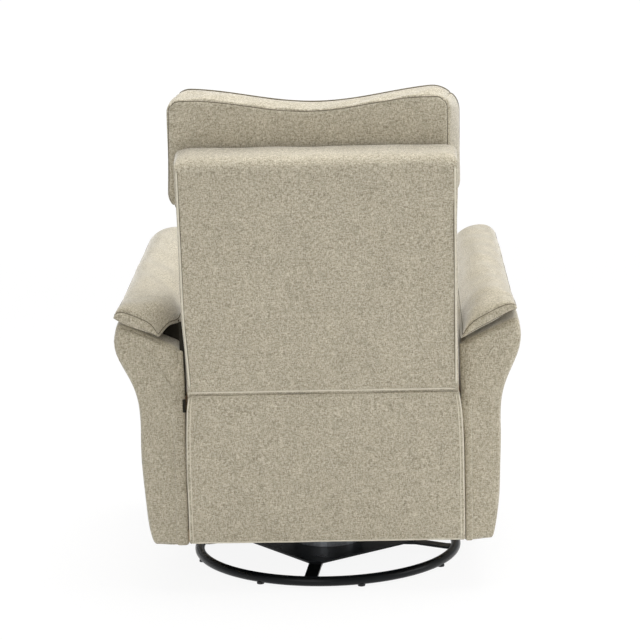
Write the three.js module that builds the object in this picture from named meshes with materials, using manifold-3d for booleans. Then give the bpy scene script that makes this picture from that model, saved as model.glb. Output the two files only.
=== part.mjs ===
// Swivel glider recliner: a padded armchair on a round floor ring. The chair turns on the ring, swings on
// four hanging links, leans back on two hinges and unfolds a footrest on paired links.
// Millimetres, +Z up, the sitter looks along -Y. The origin is on the floor, under the swivel axis.
import * as THREE from 'three';
import { mergeVertices } from 'three/addons/utils/BufferGeometryUtils.js';
import Module from 'manifold-3d';

const wasm = await Module();
wasm.setup();

const { Vector2, Vector3 } = THREE;
const degree = Math.PI / 180;

// Fits, and the run of a cutter past the face that it cuts
const gap = 0.3;
const layerGap = 2.5;
const leafThickness = 4;
const overrun = 1;

// Floor base
const ring = { radius: 281, tube: 10.5, floorClearance: 3.5, sides: 12, steps: 64 };
const foot = { radius: 8, count: 8, sides: 12 };
const baseTurn = -7.2 * degree;
const baseArm = { count: 4, width: 28, thickness: 5, rise: 8.5, bendLength: 66, flatReach: 196 };
const hub = { radius: 60, sides: 24 };
const basePlate = { cornerReach: 190, thickness: 4 };
const kingBolt = { radius: 8, headRadius: 13, headHeight: 7, nutHeight: 7, tail: 3, sides: 12 };
const race = { inner: 42, outer: 78, thickness: 11, ball: 4.5, ballCount: 8, split: 1.4, cage: 12, grooveSides: 8, steps: 32 };

// Glider stand, which turns on the base
const swivelPlate = { side: 200, corner: 20, thickness: 5 };
const channel = { width: 40, height: 26, wall: 3, spacing: 90 };
const stand = { inner: 200, barHeight: 50, barHalf: 68, footRun: 42, towerRise: 26, towerRadius: 17, fillet: 30 };
const glide = { spacing: 300, pivotHeight: 200, linkLength: 90, linkRadius: 14 };
const glidePin = { radius: 5, head: 9, headHeight: 1.6, shoulder: 7.5, sides: 8 };

// Chair frame between the arms
const seatWidth = 576;
const seatFrame = { bottom: 372, top: 412 };
const frontRail = { rear: 376, depth: 20 };
const rearRail = { front: 298 };
const stretcher = { bottom: 114, height: 26 };
const railThickness = 18;
const carriage = { railHeight: 30, railHalf: 163, wall: 3, crossWidth: 30, crossHeight: 22, crossSpacing: 120 };
const sidePlate = {
  footBottom: 118, footHalf: 90, waist: 110, beamBottom: 326, top: 404, front: 361, rear: 318, round: 14,
  openingRadius: 34, openingHeight: 226,
};

// Arms
const arm = { rear: 308, front: 436, bottom: 97, rearTop: 560, frontTop: 592, width: 129, innerDrop: 26, round: 12 };
const armWidthShares = [0.36, 0.47, 0.59, 0.635, 0.643, 0.665, 0.736, 0.853, 0.969, 1, 0.98];
const armHeightShares = [0, 0.035, 0.18, 0.33, 0.56, 0.684, 0.748, 0.819, 0.877, 0.93, 0.996];
const armEndShares = [0, 0.13, 0.5, 1];
const armBoard = { thickness: 12, rear: 290, front: 393, bottom: 108, top: 400 };
const armPad = { rear: 328, front: 440, inner: 3, width: 128, middle: 60 };

// Backrest, drawn upright about its hinge and then leant
const lean = 10.9 * degree;
const hinge = { y: 324, z: 452, endRadius: 12, armRun: 42, armRise: 54 };
const back = { rearDepth: 26, depth: 88, height: 505, rearHalf: 275, frontHalf: 282, wall: 10, roll: 14, corner: 8 };
const backPost = { width: 24, bottom: 30, top: 470, rail: 50, bracketTop: 150 };
const backSpring = { count: 4, bottom: 120, pitch: 80 };
const lumbar = { bottom: -28, top: 350, thickness: 138, half: 281, crown: 12, drawIn: 3 };
const headPad = { top: 587, thickness: 120, wing: 44, half: 296 };

// Seat, skirt and footrest
const springWire = { radius: 1.9, count: 5, pitch: 100, amplitude: 19, wave: 117, segments: 3, stepsPerWave: 4 };
const tieWire = { radius: 1.4, sides: 6, spread: 0.36 };
const seatPad = { rear: 112, half: 282, edge: 62, crown: 14, drawIn: 4 };
const skirt = { bottomY: 325, topY: 346, bottom: 112, top: 433, thickness: 12, half: 286, bevel: 7 };
const board = { bottom: 128, top: 404, half: 274, thickness: 12, pad: 32, padCrown: 5, padHalf: 281 };
const footrest = {
  driveForward: 348, driveHeight: 362, kneeForward: 223, kneeHeight: 222, toeForward: 386, toeHeight: 350,
  guideBack: 52, guideDrop: 14, tiltBack: 14, tiltDrop: 48, tube: 8, tubeWall: 1.5, tubeSides: 12, linkRadius: 11,
};
const linkPin = { radius: 4, head: 7.5, headHeight: 1.6, shoulder: 6.5, sides: 8 };
const bracket = { bottom: 270 };

// Release pull, on the inner face of the sitter's right arm
const pull = { forward: 150, length: 60, depth: 14, bottom: 500, height: 24, stem: 3, stemLength: 20, sides: 10 };
const pullRing = { width: 46, height: 40, bar: 8, thickness: 6, rest: 1, round: 6 };

// Heights of the stack on the floor base
const ringHeight = ring.floorClearance + ring.tube;
const hubBottom = ringHeight - baseArm.thickness / 2 + baseArm.rise;
const basePlateBottom = hubBottom + baseArm.thickness + gap;
const lowerRaceBottom = basePlateBottom + basePlate.thickness + gap;
const ballHeight = lowerRaceBottom + race.thickness + race.split / 2;
const upperRaceTop = lowerRaceBottom + 2 * race.thickness + race.split;
const swivelPlateBottom = upperRaceTop + gap;
const channelBottom = swivelPlateBottom + swivelPlate.thickness + gap;
const lowerPivotHeight = glide.pivotHeight - glide.linkLength;
const flangeTop = lowerPivotHeight + carriage.railHeight / 2;

// Layers between the swivel axis and an arm, as [inner face, outer face]
const seatHalf = seatWidth / 2;
const armBoardLayer = [seatHalf - gap - armBoard.thickness, seatHalf - gap];
const sideRailLayer = [armBoardLayer[0] - gap - railThickness, armBoardLayer[0] - gap];
const sidePlateLayer = [sideRailLayer[0] - gap - leafThickness, sideRailLayer[0] - gap];
const leafPitch = leafThickness + layerGap;
const outerLinkLayer = sidePlateLayer.map((x) => x - leafPitch);
const innerLinkLayer = outerLinkLayer.map((x) => x - leafPitch);
const standLayer = [stand.inner, stand.inner + leafThickness];
const glideLinkLayer = standLayer.map((x) => x + leafPitch);
const carriageRailLayer = glideLinkLayer.map((x) => x + leafPitch);

// Other planes of the recliner; the backrest's roll is what reaches farthest back
const rearReach = hinge.y + (back.rearDepth - back.roll) * Math.cos(lean)
  + (back.height - back.roll) * Math.sin(lean) + back.roll;
const skirtSlope = (skirt.topY - skirt.bottomY) / (skirt.top - skirt.bottom);
const skirtInnerAt = (height) => skirt.bottomY + skirtSlope * (height - skirt.bottom) - skirt.thickness;
const springHeight = seatFrame.top + gap + springWire.radius;
const seatPadBottom = springHeight + springWire.radius + gap;
const boardFront = rearReach - board.pad - gap;
const boardRear = boardFront - board.thickness;
const backFront = back.rearDepth - back.depth;
const backSpringDepth = backFront - gap - springWire.radius;
const cushionRear = backSpringDepth - springWire.radius - gap;
const postRear = back.rearDepth - back.wall - gap;
const postLayer = [outerLinkLayer[0] - gap - backPost.width, outerLinkLayer[0] - gap];

// Pivots as [y, z]
const upperPivots = [-1, 1].map((side) => [side * glide.spacing / 2, glide.pivotHeight]);
const lowerPivots = [-1, 1].map((side) => [side * glide.spacing / 2, lowerPivotHeight]);
const drivePivot = [-footrest.driveForward, footrest.driveHeight];
const kneePivot = [-footrest.kneeForward, footrest.kneeHeight];
const toePivot = [-footrest.toeForward, footrest.toeHeight];
const guideOf = ([y, z]) => [y + footrest.guideBack, z - footrest.guideDrop];
const tiltOf = ([y, z]) => [y + footrest.tiltBack, z - footrest.tiltDrop];
const hingePivot = [hinge.y, hinge.z];

// Finishes
const finish = (color, roughness, metalness) => new THREE.MeshStandardMaterial({ color, roughness, metalness });
const finishes = {
  fabric: finish('#b3aa98', 0.95, 0),
  blackSteel: finish('#1d1e20', 0.45, 0.6),
  zincSteel: finish('#a4a7aa', 0.4, 0.9),
  springSteel: finish('#6f7276', 0.45, 0.9),
  wood: finish('#c7a675', 0.7, 0),
  plastic: finish('#202122', 0.5, 0),
};

// Booleans. Each geometry is welded and, if it's inside out, turned round first.

function solidOf(geometry) {
  const bare = new THREE.BufferGeometry();
  bare.setAttribute('position', geometry.getAttribute('position'));
  bare.setIndex(geometry.index);
  const welded = mergeVertices(bare);
  const positions = welded.getAttribute('position');
  const index = welded.index.array;
  const [a, b, c] = [new Vector3(), new Vector3(), new Vector3()];
  const corners = [];
  let volume = 0;
  for (let i = 0; i < index.length; i += 3) {
    const [p, q, r] = index.slice(i, i + 3);
    if (p === q || q === r || r === p) continue;
    corners.push(p, q, r);
    a.fromBufferAttribute(positions, p);
    b.fromBufferAttribute(positions, q);
    c.fromBufferAttribute(positions, r);
    volume += a.dot(b.cross(c));
  }
  if (volume < 0) corners.reverse();
  return new wasm.Manifold(new wasm.Mesh({
    numProp: 3,
    vertProperties: new Float32Array(positions.array),
    triVerts: new Uint32Array(corners),
  }));
}

function geometryOf(solid) {
  const { vertProperties, triVerts } = solid.getMesh();
  const geometry = new THREE.BufferGeometry();
  geometry.setAttribute('position', new THREE.BufferAttribute(vertProperties, 3));
  geometry.setIndex(new THREE.BufferAttribute(triVerts, 1));
  return geometry;
}

const join = (...geometries) => geometryOf(geometries.map(solidOf).reduce((sum, next) => sum.add(next)));
const cut = (body, ...tools) => geometryOf(tools.map(solidOf).reduce((rest, tool) => rest.subtract(tool), solidOf(body)));
const common = (a, b) => geometryOf(solidOf(a).intersect(solidOf(b)));
const mirrored = (geometry) => join(geometry.clone().scale(-1, 1, 1));
const bothSides = (geometry) => join(geometry, mirrored(geometry));

// Basic forms

const span = ([low, high]) => [low - overrun, high + overrun];

function block([x0, x1], [y0, y1], [z0, z1]) {
  const geometry = new THREE.BoxGeometry(x1 - x0, y1 - y0, z1 - z0);
  return geometry.translate((x0 + x1) / 2, (y0 + y1) / 2, (z0 + z1) / 2);
}

const polygon = (points) => new THREE.Shape(points.map(([u, v]) => new Vector2(u, v)));

// A polygon whose corners are rounded off
function rounded(points, radius) {
  const corners = points.map(([u, v]) => new Vector2(u, v));
  const shape = new THREE.Shape();
  corners.forEach((corner, i) => {
    const before = corners.at(i - 1).clone().sub(corner);
    const after = corners[(i + 1) % corners.length].clone().sub(corner);
    const start = before.setLength(Math.min(radius, before.length() / 2)).add(corner);
    const end = after.setLength(Math.min(radius, after.length() / 2)).add(corner);
    if (i === 0) shape.moveTo(start.x, start.y);
    else shape.lineTo(start.x, start.y);
    shape.quadraticCurveTo(corner.x, corner.y, end.x, end.y);
  });
  shape.closePath();
  return shape;
}

// A plate drawn in (x, y) between two heights
function flatPlate(outline, [bottom, top], curveSegments = 4) {
  const geometry = new THREE.ExtrudeGeometry(outline, { depth: top - bottom, bevelEnabled: false, curveSegments });
  return geometry.translate(0, 0, bottom);
}

// A plate drawn in (y, z) between two x values
const sideAxes = new THREE.Matrix4().makeBasis(new Vector3(0, 1, 0), new Vector3(0, 0, 1), new Vector3(1, 0, 0));
const uprightPlate = (outline, [from, to], curveSegments = 4) => (
  flatPlate(outline, [from, to], curveSegments).applyMatrix4(sideAxes));

// A bar drawn in (x, z) between two y values
const frontAxes = new THREE.Matrix4().makeBasis(new Vector3(1, 0, 0), new Vector3(0, 0, 1), new Vector3(0, 1, 0));
const lengthwiseBar = (outline, [from, to]) => join(flatPlate(outline, [from, to]).applyMatrix4(frontAxes));

// A bore whose flats still clear a round bar by the gap
const boreRadius = (barRadius, sides) => (barRadius + gap) / Math.cos(Math.PI / sides);

function post([x, y], [bottom, top], radius, sides) {
  const geometry = new THREE.CylinderGeometry(radius, radius, top - bottom, sides);
  return geometry.rotateX(Math.PI / 2).translate(x, y, (bottom + top) / 2);
}

function rod([from, to], [y, z], radius, sides) {
  const geometry = new THREE.CylinderGeometry(radius, radius, to - from, sides);
  return geometry.rotateZ(Math.PI / 2).translate((from + to) / 2, y, z);
}

// Turned about the Z axis from a profile of [radius, height]
function turned(profile, sides) {
  const points = profile.map(([radius, height]) => new Vector2(radius, height));
  return join(new THREE.LatheGeometry(points, sides).rotateX(Math.PI / 2));
}

// A bar with round ends in a side plane
function capsule(start, end, radius) {
  const from = new Vector2(...start);
  const to = new Vector2(...end);
  const turn = to.clone().sub(from).angle();
  const shape = new THREE.Shape();
  shape.absarc(from.x, from.y, radius, turn + Math.PI / 2, turn + 3 * Math.PI / 2, false);
  shape.absarc(to.x, to.y, radius, turn - Math.PI / 2, turn + Math.PI / 2, false);
  return shape;
}

// A flat bar with round ends through a row of points in a side plane
const flatBar = (points, radius, layer) => (
  join(...points.slice(1).map((end, i) => uprightPlate(capsule(points[i], end, radius), layer))));

const bores = (pivots, layer, { radius, sides }) => (
  pivots.map((pivot) => rod(span(layer), pivot, boreRadius(radius, sides), sides)));

// A shouldered stud that is fixed in one leaf and carries the next leaf under its head
function stud(holder, carried, [y, z], size) {
  const way = Math.sign(carried[0] - holder[0]);
  const [near, far] = way > 0 ? carried : [carried[1], carried[0]];
  const root = (holder[0] + holder[1]) / 2;
  const head = [far + way * gap, far + way * (gap + size.headHeight)];
  const profile = [
    [0, root], [size.shoulder, root], [size.shoulder, near - way * gap], [size.radius, near - way * gap],
    [size.radius, head[0]], [size.head, head[0]], [size.head, head[1]], [0, head[1]],
  ];
  return turned(profile, size.sides).rotateY(Math.PI / 2).translate(0, y, z);
}

const studs = (pivots, holder, carried, size) => pivots.map((pivot) => stud(holder, carried, pivot, size));

// A closed skin over rings of as many points each
function skin(rings) {
  const count = rings[0].length;
  const middle = (points) => points.reduce((sum, p) => sum.add(p), new Vector3()).divideScalar(count);
  const points = [...rings.flat(), middle(rings[0]), middle(rings.at(-1))];
  const lastRing = (rings.length - 1) * count;
  const index = [];
  for (let i = 0; i < count; i += 1) {
    const next = (i + 1) % count;
    for (let start = 0; start < lastRing; start += count) {
      index.push(start + i, start + next, start + count + next);
      index.push(start + i, start + count + next, start + count + i);
    }
    index.push(points.length - 2, next, i);
    index.push(points.length - 1, lastRing + i, lastRing + next);
  }
  const geometry = new THREE.BufferGeometry().setFromPoints(points);
  geometry.setIndex(index);
  return join(geometry);
}

// A flat zigzag spring of a given length; place turns its (along, across) into a point
function zigzag(length, place) {
  const count = Math.round(length / springWire.wave) * springWire.stepsPerWave;
  const points = [];
  for (let i = 0; i <= count; i += 1) {
    const turn = 2 * Math.PI * i / springWire.stepsPerWave;
    points.push(place(length * i / count, springWire.amplitude * Math.sin(turn)));
  }
  const section = new THREE.Shape().absarc(0, 0, springWire.radius, 0, 2 * Math.PI);
  const extrudePath = new THREE.CatmullRomCurve3(points);
  const options = { steps: count, bevelEnabled: false, curveSegments: springWire.segments, extrudePath };
  return join(new THREE.ExtrudeGeometry(section, options));
}

// A stuffed cushion, full in the middle and drawn in along its sides
const cushionShares = [-1, -0.95, -0.82, -0.5, 0, 0.5, 0.82, 0.95, 1];
const cushionPoints = 20;
const boxiness = 0.4;
const cushionPower = { width: 12, depth: 6 };
const endShare = 0.985;
const fullness = (share, power) => (1 - Math.abs(endShare * share) ** power) ** (1 / power);
const boxed = (value) => Math.sign(value) * Math.abs(value) ** boxiness;

function cushion({ along, half, through, crown, drawIn }, axes) {
  const [middle, reach] = [(along[0] + along[1]) / 2, (along[1] - along[0]) / 2];
  const [centre, depth] = [(through[0] + through[1]) / 2, (through[1] - through[0]) / 2];
  const rings = cushionShares.map((share) => Array.from({ length: cushionPoints }, (_, i) => {
    const turn = 2 * Math.PI * (i + 0.5) / cushionPoints;
    const [u, v] = [boxed(Math.cos(turn)), boxed(Math.sin(turn))];
    const width = (half - drawIn * (1 - share * share)) * fullness(share, cushionPower.width);
    const rise = v > 0 ? crown * (1 - u * u) * (1 - share * share) : 0;
    const full = depth * fullness(share, cushionPower.depth);
    return new Vector3(width * u, centre + full * v + rise, middle + reach * share);
  }));
  return skin(rings.map((ringPoints) => ringPoints.map((point) => point.applyMatrix4(axes))));
}

const axesOf = (...columns) => new THREE.Matrix4().makeBasis(...columns.map((column) => new Vector3(...column)));

// The assembly

const chair = new THREE.Group();

function add(name, geometry, material) {
  const mesh = new THREE.Mesh(geometry, finishes[material]);
  mesh.name = name;
  chair.add(mesh);
}

function addPair(name, geometry, material) {
  add(`${name}_left`, geometry, material);
  add(`${name}_right`, mirrored(geometry), material);
}

// Floor base: a ring on feet, with four bent arms to a hub

function torus(tubeRadius) {
  const geometry = new THREE.TorusGeometry(ring.radius, tubeRadius, ring.sides, ring.steps);
  return geometry.translate(0, 0, ringHeight);
}

const floorTurn = (geometry) => geometry.rotateZ(baseTurn);
const armTurns = Array.from({ length: baseArm.count }, (_, i) => 2 * Math.PI * i / baseArm.count);

function bentArm() {
  const bendEnd = baseArm.flatReach + baseArm.bendLength;
  const low = ringHeight - baseArm.thickness / 2;
  const underside = [[0, hubBottom], [baseArm.flatReach, hubBottom], [bendEnd, low], [ring.radius, low]];
  const topside = underside.map(([along, height]) => [along, height + baseArm.thickness]).reverse();
  return uprightPlate(polygon([...underside, ...topside]), [-baseArm.width / 2, baseArm.width / 2]);
}

function baseCross() {
  const disc = post([0, 0], [hubBottom, hubBottom + baseArm.thickness], hub.radius, hub.sides);
  const arms = armTurns.map((turn) => bentArm().rotateZ(turn));
  const bore = post([0, 0], span([hubBottom, basePlateBottom]), boreRadius(kingBolt.radius, kingBolt.sides), kingBolt.sides);
  return cut(join(disc, ...arms), bore, torus(ring.tube + gap));
}

function floorPlate() {
  const corners = armTurns.flatMap((turn) => [-baseArm.width / 2, baseArm.width / 2].map((side) => {
    const corner = new Vector2(side, -basePlate.cornerReach).rotateAround(new Vector2(), turn);
    return [corner.x, corner.y];
  }));
  const heights = [basePlateBottom, basePlateBottom + basePlate.thickness];
  const bore = post([0, 0], span(heights), boreRadius(kingBolt.radius, kingBolt.sides), kingBolt.sides);
  return cut(flatPlate(polygon(corners), heights), bore);
}

function ringWithFeet() {
  const feet = Array.from({ length: foot.count }, (_, i) => {
    const turn = 2 * Math.PI * (i + 0.5) / foot.count;
    return post([ring.radius, 0], [0, ringHeight], foot.radius, foot.sides).rotateZ(turn);
  });
  return join(torus(ring.tube), ...feet);
}

const ballCircle = (race.inner + race.outer) / 2;

// A bearing race with a ball groove; side is 1 for the upper race and -1 for the lower one
function bearingRace(side) {
  const face = ballHeight + side * race.split / 2;
  const outerFace = face + side * race.thickness;
  const grooveRadius = boreRadius(race.ball, race.grooveSides);
  const edge = Math.asin(race.split / 2 / grooveRadius);
  const groove = [0, 0.25, 0.5, 0.75, 1].map((share) => {
    const turn = edge + (Math.PI - 2 * edge) * share;
    return [ballCircle + grooveRadius * Math.cos(turn), ballHeight + side * grooveRadius * Math.sin(turn)];
  });
  const start = [race.inner, outerFace];
  return turned([start, [race.outer, outerFace], [race.outer, face], ...groove, [race.inner, face], start], race.steps);
}

// The balls in their cage, a flat ring between the races
function bearingCage() {
  const thickness = race.split / 2 - gap;
  const [inner, outer] = [ballCircle - race.cage / 2, ballCircle + race.cage / 2];
  const [bottom, top] = [ballHeight - thickness, ballHeight + thickness];
  const cage = turned([[inner, bottom], [outer, bottom], [outer, top], [inner, top], [inner, bottom]], race.steps);
  const balls = Array.from({ length: race.ballCount }, (_, i) => {
    const ball = new THREE.IcosahedronGeometry(race.ball, 1);
    return ball.translate(ballCircle, 0, ballHeight).rotateZ(2 * Math.PI * i / race.ballCount);
  });
  return join(cage, ...balls);
}

const nutHeights = [channelBottom, channelBottom + kingBolt.nutHeight];

function swivelBolt() {
  const headTop = hubBottom - gap;
  const headBottom = headTop - kingBolt.headHeight;
  const top = nutHeights[1] + kingBolt.tail;
  const profile = [
    [0, headBottom], [kingBolt.headRadius, headBottom], [kingBolt.headRadius, headTop],
    [kingBolt.radius, headTop], [kingBolt.radius, top], [0, top],
  ];
  return turned(profile, kingBolt.sides);
}

function swivelNut() {
  const body = post([0, 0], nutHeights, kingBolt.headRadius, kingBolt.sides);
  return cut(body, post([0, 0], span(nutHeights), boreRadius(kingBolt.radius, kingBolt.sides), kingBolt.sides));
}

add('base_ring', floorTurn(ringWithFeet()), 'blackSteel');
add('base_cross', floorTurn(baseCross()), 'blackSteel');
add('base_plate', floorTurn(floorPlate()), 'blackSteel');
add('bearing_lower_race', bearingRace(-1), 'zincSteel');
add('bearing_cage', bearingCage(), 'zincSteel');
add('swivel_bolt', swivelBolt(), 'zincSteel');
add('swivel_nut', swivelNut(), 'zincSteel');

// Glider stand: it turns on the bearing and carries the upper pivots of the hanging links

function swivelPlateBody() {
  const half = swivelPlate.side / 2;
  const inner = half - swivelPlate.corner;
  const outline = [
    [-inner, -half], [inner, -half], [half, -inner], [half, inner],
    [inner, half], [-inner, half], [-half, inner], [-half, -inner],
  ];
  const heights = [swivelPlateBottom, swivelPlateBottom + swivelPlate.thickness];
  const bore = post([0, 0], span(heights), boreRadius(kingBolt.radius, kingBolt.sides), kingBolt.sides);
  return cut(flatPlate(polygon(outline), heights), bore);
}

// A folded channel, open below, along X at a given y
function channelBar([from, to], y, bottom, { width, height, wall }) {
  const outer = width / 2;
  const inner = outer - wall;
  const top = bottom + height;
  const outline = [
    [y - outer, bottom], [y - inner, bottom], [y - inner, top - wall], [y + inner, top - wall],
    [y + inner, bottom], [y + outer, bottom], [y + outer, top], [y - outer, top],
  ];
  return uprightPlate(polygon(outline), [from, to]);
}

function standPlate() {
  const pivotReach = glide.spacing / 2;
  const outer = pivotReach + stand.towerRadius;
  const inner = pivotReach - stand.towerRadius;
  const barTop = channelBottom + stand.barHeight;
  const towerBottom = channelBottom + stand.towerRise;
  const outline = new THREE.Shape();
  outline.moveTo(-stand.barHalf, channelBottom);
  outline.lineTo(stand.barHalf, channelBottom);
  outline.lineTo(stand.barHalf + stand.footRun, towerBottom);
  outline.lineTo(outer, towerBottom);
  outline.absarc(pivotReach, glide.pivotHeight, stand.towerRadius, 0, Math.PI, false);
  outline.lineTo(inner, barTop + stand.fillet);
  outline.quadraticCurveTo(inner, barTop, inner - stand.fillet, barTop);
  outline.lineTo(stand.fillet - inner, barTop);
  outline.quadraticCurveTo(-inner, barTop, -inner, barTop + stand.fillet);
  outline.absarc(-pivotReach, glide.pivotHeight, stand.towerRadius, 0, Math.PI, false);
  outline.lineTo(-outer, towerBottom);
  outline.lineTo(-stand.barHalf - stand.footRun, towerBottom);
  return join(uprightPlate(outline, standLayer), ...studs(upperPivots, standLayer, glideLinkLayer, glidePin));
}

const channelReach = stand.inner - gap;
const [frontChannel, rearChannel] = [-1, 1].map((side) => (
  channelBar([-channelReach, channelReach], side * channel.spacing / 2, channelBottom, channel)));

add('bearing_upper_race', bearingRace(1), 'zincSteel');
add('swivel_plate', swivelPlateBody(), 'blackSteel');
add('stand_channel_front', frontChannel, 'blackSteel');
add('stand_channel_rear', rearChannel, 'blackSteel');
addPair('glider_stand', standPlate(), 'blackSteel');

// Hanging links

const [frontGlideLink, rearGlideLink] = upperPivots.map((upper, i) => {
  const pivots = [upper, lowerPivots[i]];
  return cut(flatBar(pivots, glide.linkRadius, glideLinkLayer), ...bores(pivots, glideLinkLayer, glidePin));
});

addPair('glide_link_front', frontGlideLink, 'blackSteel');
addPair('glide_link_rear', rearGlideLink, 'blackSteel');

// Carriage: the chair's frame, which hangs on the links

const flangeReach = sidePlateLayer[0] - gap;

function carriageRail() {
  const [inner, outer] = carriageRailLayer;
  const bottom = flangeTop - carriage.railHeight;
  const flangeBottom = flangeTop - carriage.wall;
  const outline = [
    [inner, bottom], [outer, bottom], [outer, flangeBottom], [flangeReach, flangeBottom],
    [flangeReach, flangeTop], [inner, flangeTop],
  ];
  const rail = lengthwiseBar(polygon(outline), [-carriage.railHalf, carriage.railHalf]);
  return join(rail, ...studs(lowerPivots, carriageRailLayer, glideLinkLayer, glidePin));
}

function sidePlateBody() {
  const outline = rounded([
    [-sidePlate.footHalf, sidePlate.footBottom], [sidePlate.footHalf, sidePlate.footBottom],
    [sidePlate.waist, sidePlate.beamBottom], [sidePlate.rear, sidePlate.beamBottom],
    [sidePlate.rear, sidePlate.top], [-sidePlate.front, sidePlate.top],
    [-sidePlate.front, sidePlate.beamBottom], [-sidePlate.waist, sidePlate.beamBottom],
  ], sidePlate.round);
  const armRoot = [hinge.y - hinge.armRun, hinge.z - hinge.armRise];
  const body = cut(
    join(uprightPlate(outline, sidePlateLayer), flatBar([hingePivot, armRoot], hinge.endRadius, sidePlateLayer)),
    ...bores([drivePivot], sidePlateLayer, { radius: footrest.tube, sides: footrest.tubeSides }),
    rod(span(sidePlateLayer), [0, sidePlate.openingHeight], sidePlate.openingRadius, hub.sides),
  );
  return join(body, ...studs([hingePivot, guideOf(drivePivot)], sidePlateLayer, outerLinkLayer, linkPin));
}

const railHeights = [seatFrame.bottom, seatFrame.top];
const frontRailFront = frontRail.rear + frontRail.depth;
const [frontCrossRail, rearCrossRail] = [-1, 1].map((side) => channelBar(
  [-flangeReach, flangeReach], side * carriage.crossSpacing / 2, flangeTop + gap,
  { width: carriage.crossWidth, height: carriage.crossHeight, wall: carriage.wall },
));
const sideRail = block(sideRailLayer, [-frontRailFront, armBoard.rear], railHeights);
const frontRailReach = sideRailLayer[0] - gap;
const rearRailDepth = [rearRail.front, skirtInnerAt(seatFrame.bottom) - gap];
const stretcherDepth = [armBoard.rear + gap, skirtInnerAt(stretcher.bottom) - gap];
const stretcherHeights = [stretcher.bottom, stretcher.bottom + stretcher.height];
const stretcherReach = seatHalf - gap;

const springStart = -(frontRail.rear + frontRail.depth / 2);
const springEnd = (rearRailDepth[0] + rearRailDepth[1]) / 2;
const seatSpan = springEnd - springStart;
const seatSpringRow = Array.from({ length: springWire.count }, (_, i) => {
  const x = (i - (springWire.count - 1) / 2) * springWire.pitch;
  return zigzag(seatSpan, (along, across) => new Vector3(x + across, springStart + along, springHeight));
});
const tieReach = (springWire.count - 1) / 2 * springWire.pitch + springWire.amplitude;
const seatTies = [-1, 1].map((side) => {
  const y = (springStart + springEnd) / 2 + side * tieWire.spread / 2 * seatSpan;
  return rod([-tieReach, tieReach], [y, springHeight], tieWire.radius, tieWire.sides);
});

const upright = axesOf([1, 0, 0], [0, 0, 1], [0, 1, 0]);
const seatCushion = cushion({
  along: [-rearReach, seatPad.rear],
  half: seatPad.half,
  through: [seatPadBottom, seatPadBottom + seatPad.edge],
  crown: seatPad.crown,
  drawIn: seatPad.drawIn,
}, upright);

addPair('carriage_rail', carriageRail(), 'blackSteel');
add('cross_rail_front', frontCrossRail, 'blackSteel');
add('cross_rail_rear', rearCrossRail, 'blackSteel');
addPair('side_plate', sidePlateBody(), 'blackSteel');
addPair('seat_side_rail', sideRail, 'wood');
add('seat_front_rail', block([-frontRailReach, frontRailReach], [-frontRailFront, -frontRail.rear], railHeights), 'wood');
add('seat_rear_rail', block([-flangeReach, flangeReach], rearRailDepth, railHeights), 'wood');
add('rear_stretcher', block([-stretcherReach, stretcherReach], stretcherDepth, stretcherHeights), 'wood');
add('seat_springs', join(...seatSpringRow, ...seatTies), 'springSteel');
add('seat_cushion', seatCushion, 'fabric');

// Arms: a board, a padded body with a waist, and a pad that droops over its ends

const armTopAt = (y) => arm.rearTop + (arm.frontTop - arm.rearTop) * (arm.rear - y) / (arm.rear + arm.front);
const armSlope = arm.innerDrop / arm.width;

function armRing(y, inset) {
  const top = armTopAt(y);
  const outer = armWidthShares.map((share, i) => [
    seatHalf + share * arm.width, arm.bottom + armHeightShares[i] * (top - arm.bottom)]);
  const outline = [[seatHalf, top - arm.innerDrop], [seatHalf, arm.bottom], ...outer];
  const centre = [seatHalf + arm.width / 2, (arm.bottom + top) / 2];
  const shrink = [1 - inset / (arm.width / 2), 1 - inset / ((top - arm.bottom) / 2)];
  return outline.map(([x, z]) => new Vector3(
    centre[0] + (x - centre[0]) * shrink[0], y, centre[1] + (z - centre[1]) * shrink[1]));
}

function armBody() {
  const insetAt = (share) => arm.round * (1 - Math.sqrt(1 - (1 - share) ** 2));
  const frontRings = armEndShares.map((share) => armRing(-arm.front + arm.round * share, insetAt(share)));
  const rearRings = armEndShares.map((share) => armRing(arm.rear - arm.round * share, insetAt(share))).reverse();
  return skin([...frontRings, ...rearRings]);
}

// The pad's thickness swells from its ends to its middle
const padShares = [0, 0.02, 0.06, 0.16, 0.35, 0.6, 0.84, 0.94, 0.98, 1];
const padPoints = 16;
// How square the pad is from end to end, across, and round its section
const padPower = { thickness: 2.6, width: 5, section: 0.7 };

function armPadBody() {
  const centreX = seatHalf + armPad.inner + armPad.width / 2;
  const rings = padShares.map((share) => {
    const y = -armPad.front + (armPad.front + armPad.rear) * share;
    const swell = fullness(2 * share - 1, padPower.thickness);
    const thickness = armPad.middle * swell;
    const half = armPad.width / 2 * fullness(2 * share - 1, padPower.width);
    const floorHeight = armTopAt(y) + gap + armSlope * (centreX - seatHalf - arm.width);
    return Array.from({ length: padPoints }, (_, i) => {
      const turn = 2 * Math.PI * i / padPoints;
      const [u, v] = [Math.cos(turn), Math.sin(turn)].map((x) => Math.sign(x) * Math.abs(x) ** padPower.section);
      const [across, rise] = [half * u, thickness / 2 * (1 + v)];
      return new Vector3(centreX + across, y, floorHeight + armSlope * across + rise);
    });
  });
  return skin(rings);
}

const armBoardHeights = [armBoard.bottom, armBoard.top];
addPair('arm_board', block(armBoardLayer, [-armBoard.front, armBoard.rear], armBoardHeights), 'wood');
addPair('arm', armBody(), 'fabric');
addPair('arm_pad', armPadBody(), 'fabric');

// Rear skirt, bevelled along its top so that the backrest's bottom edge can pass

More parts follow.
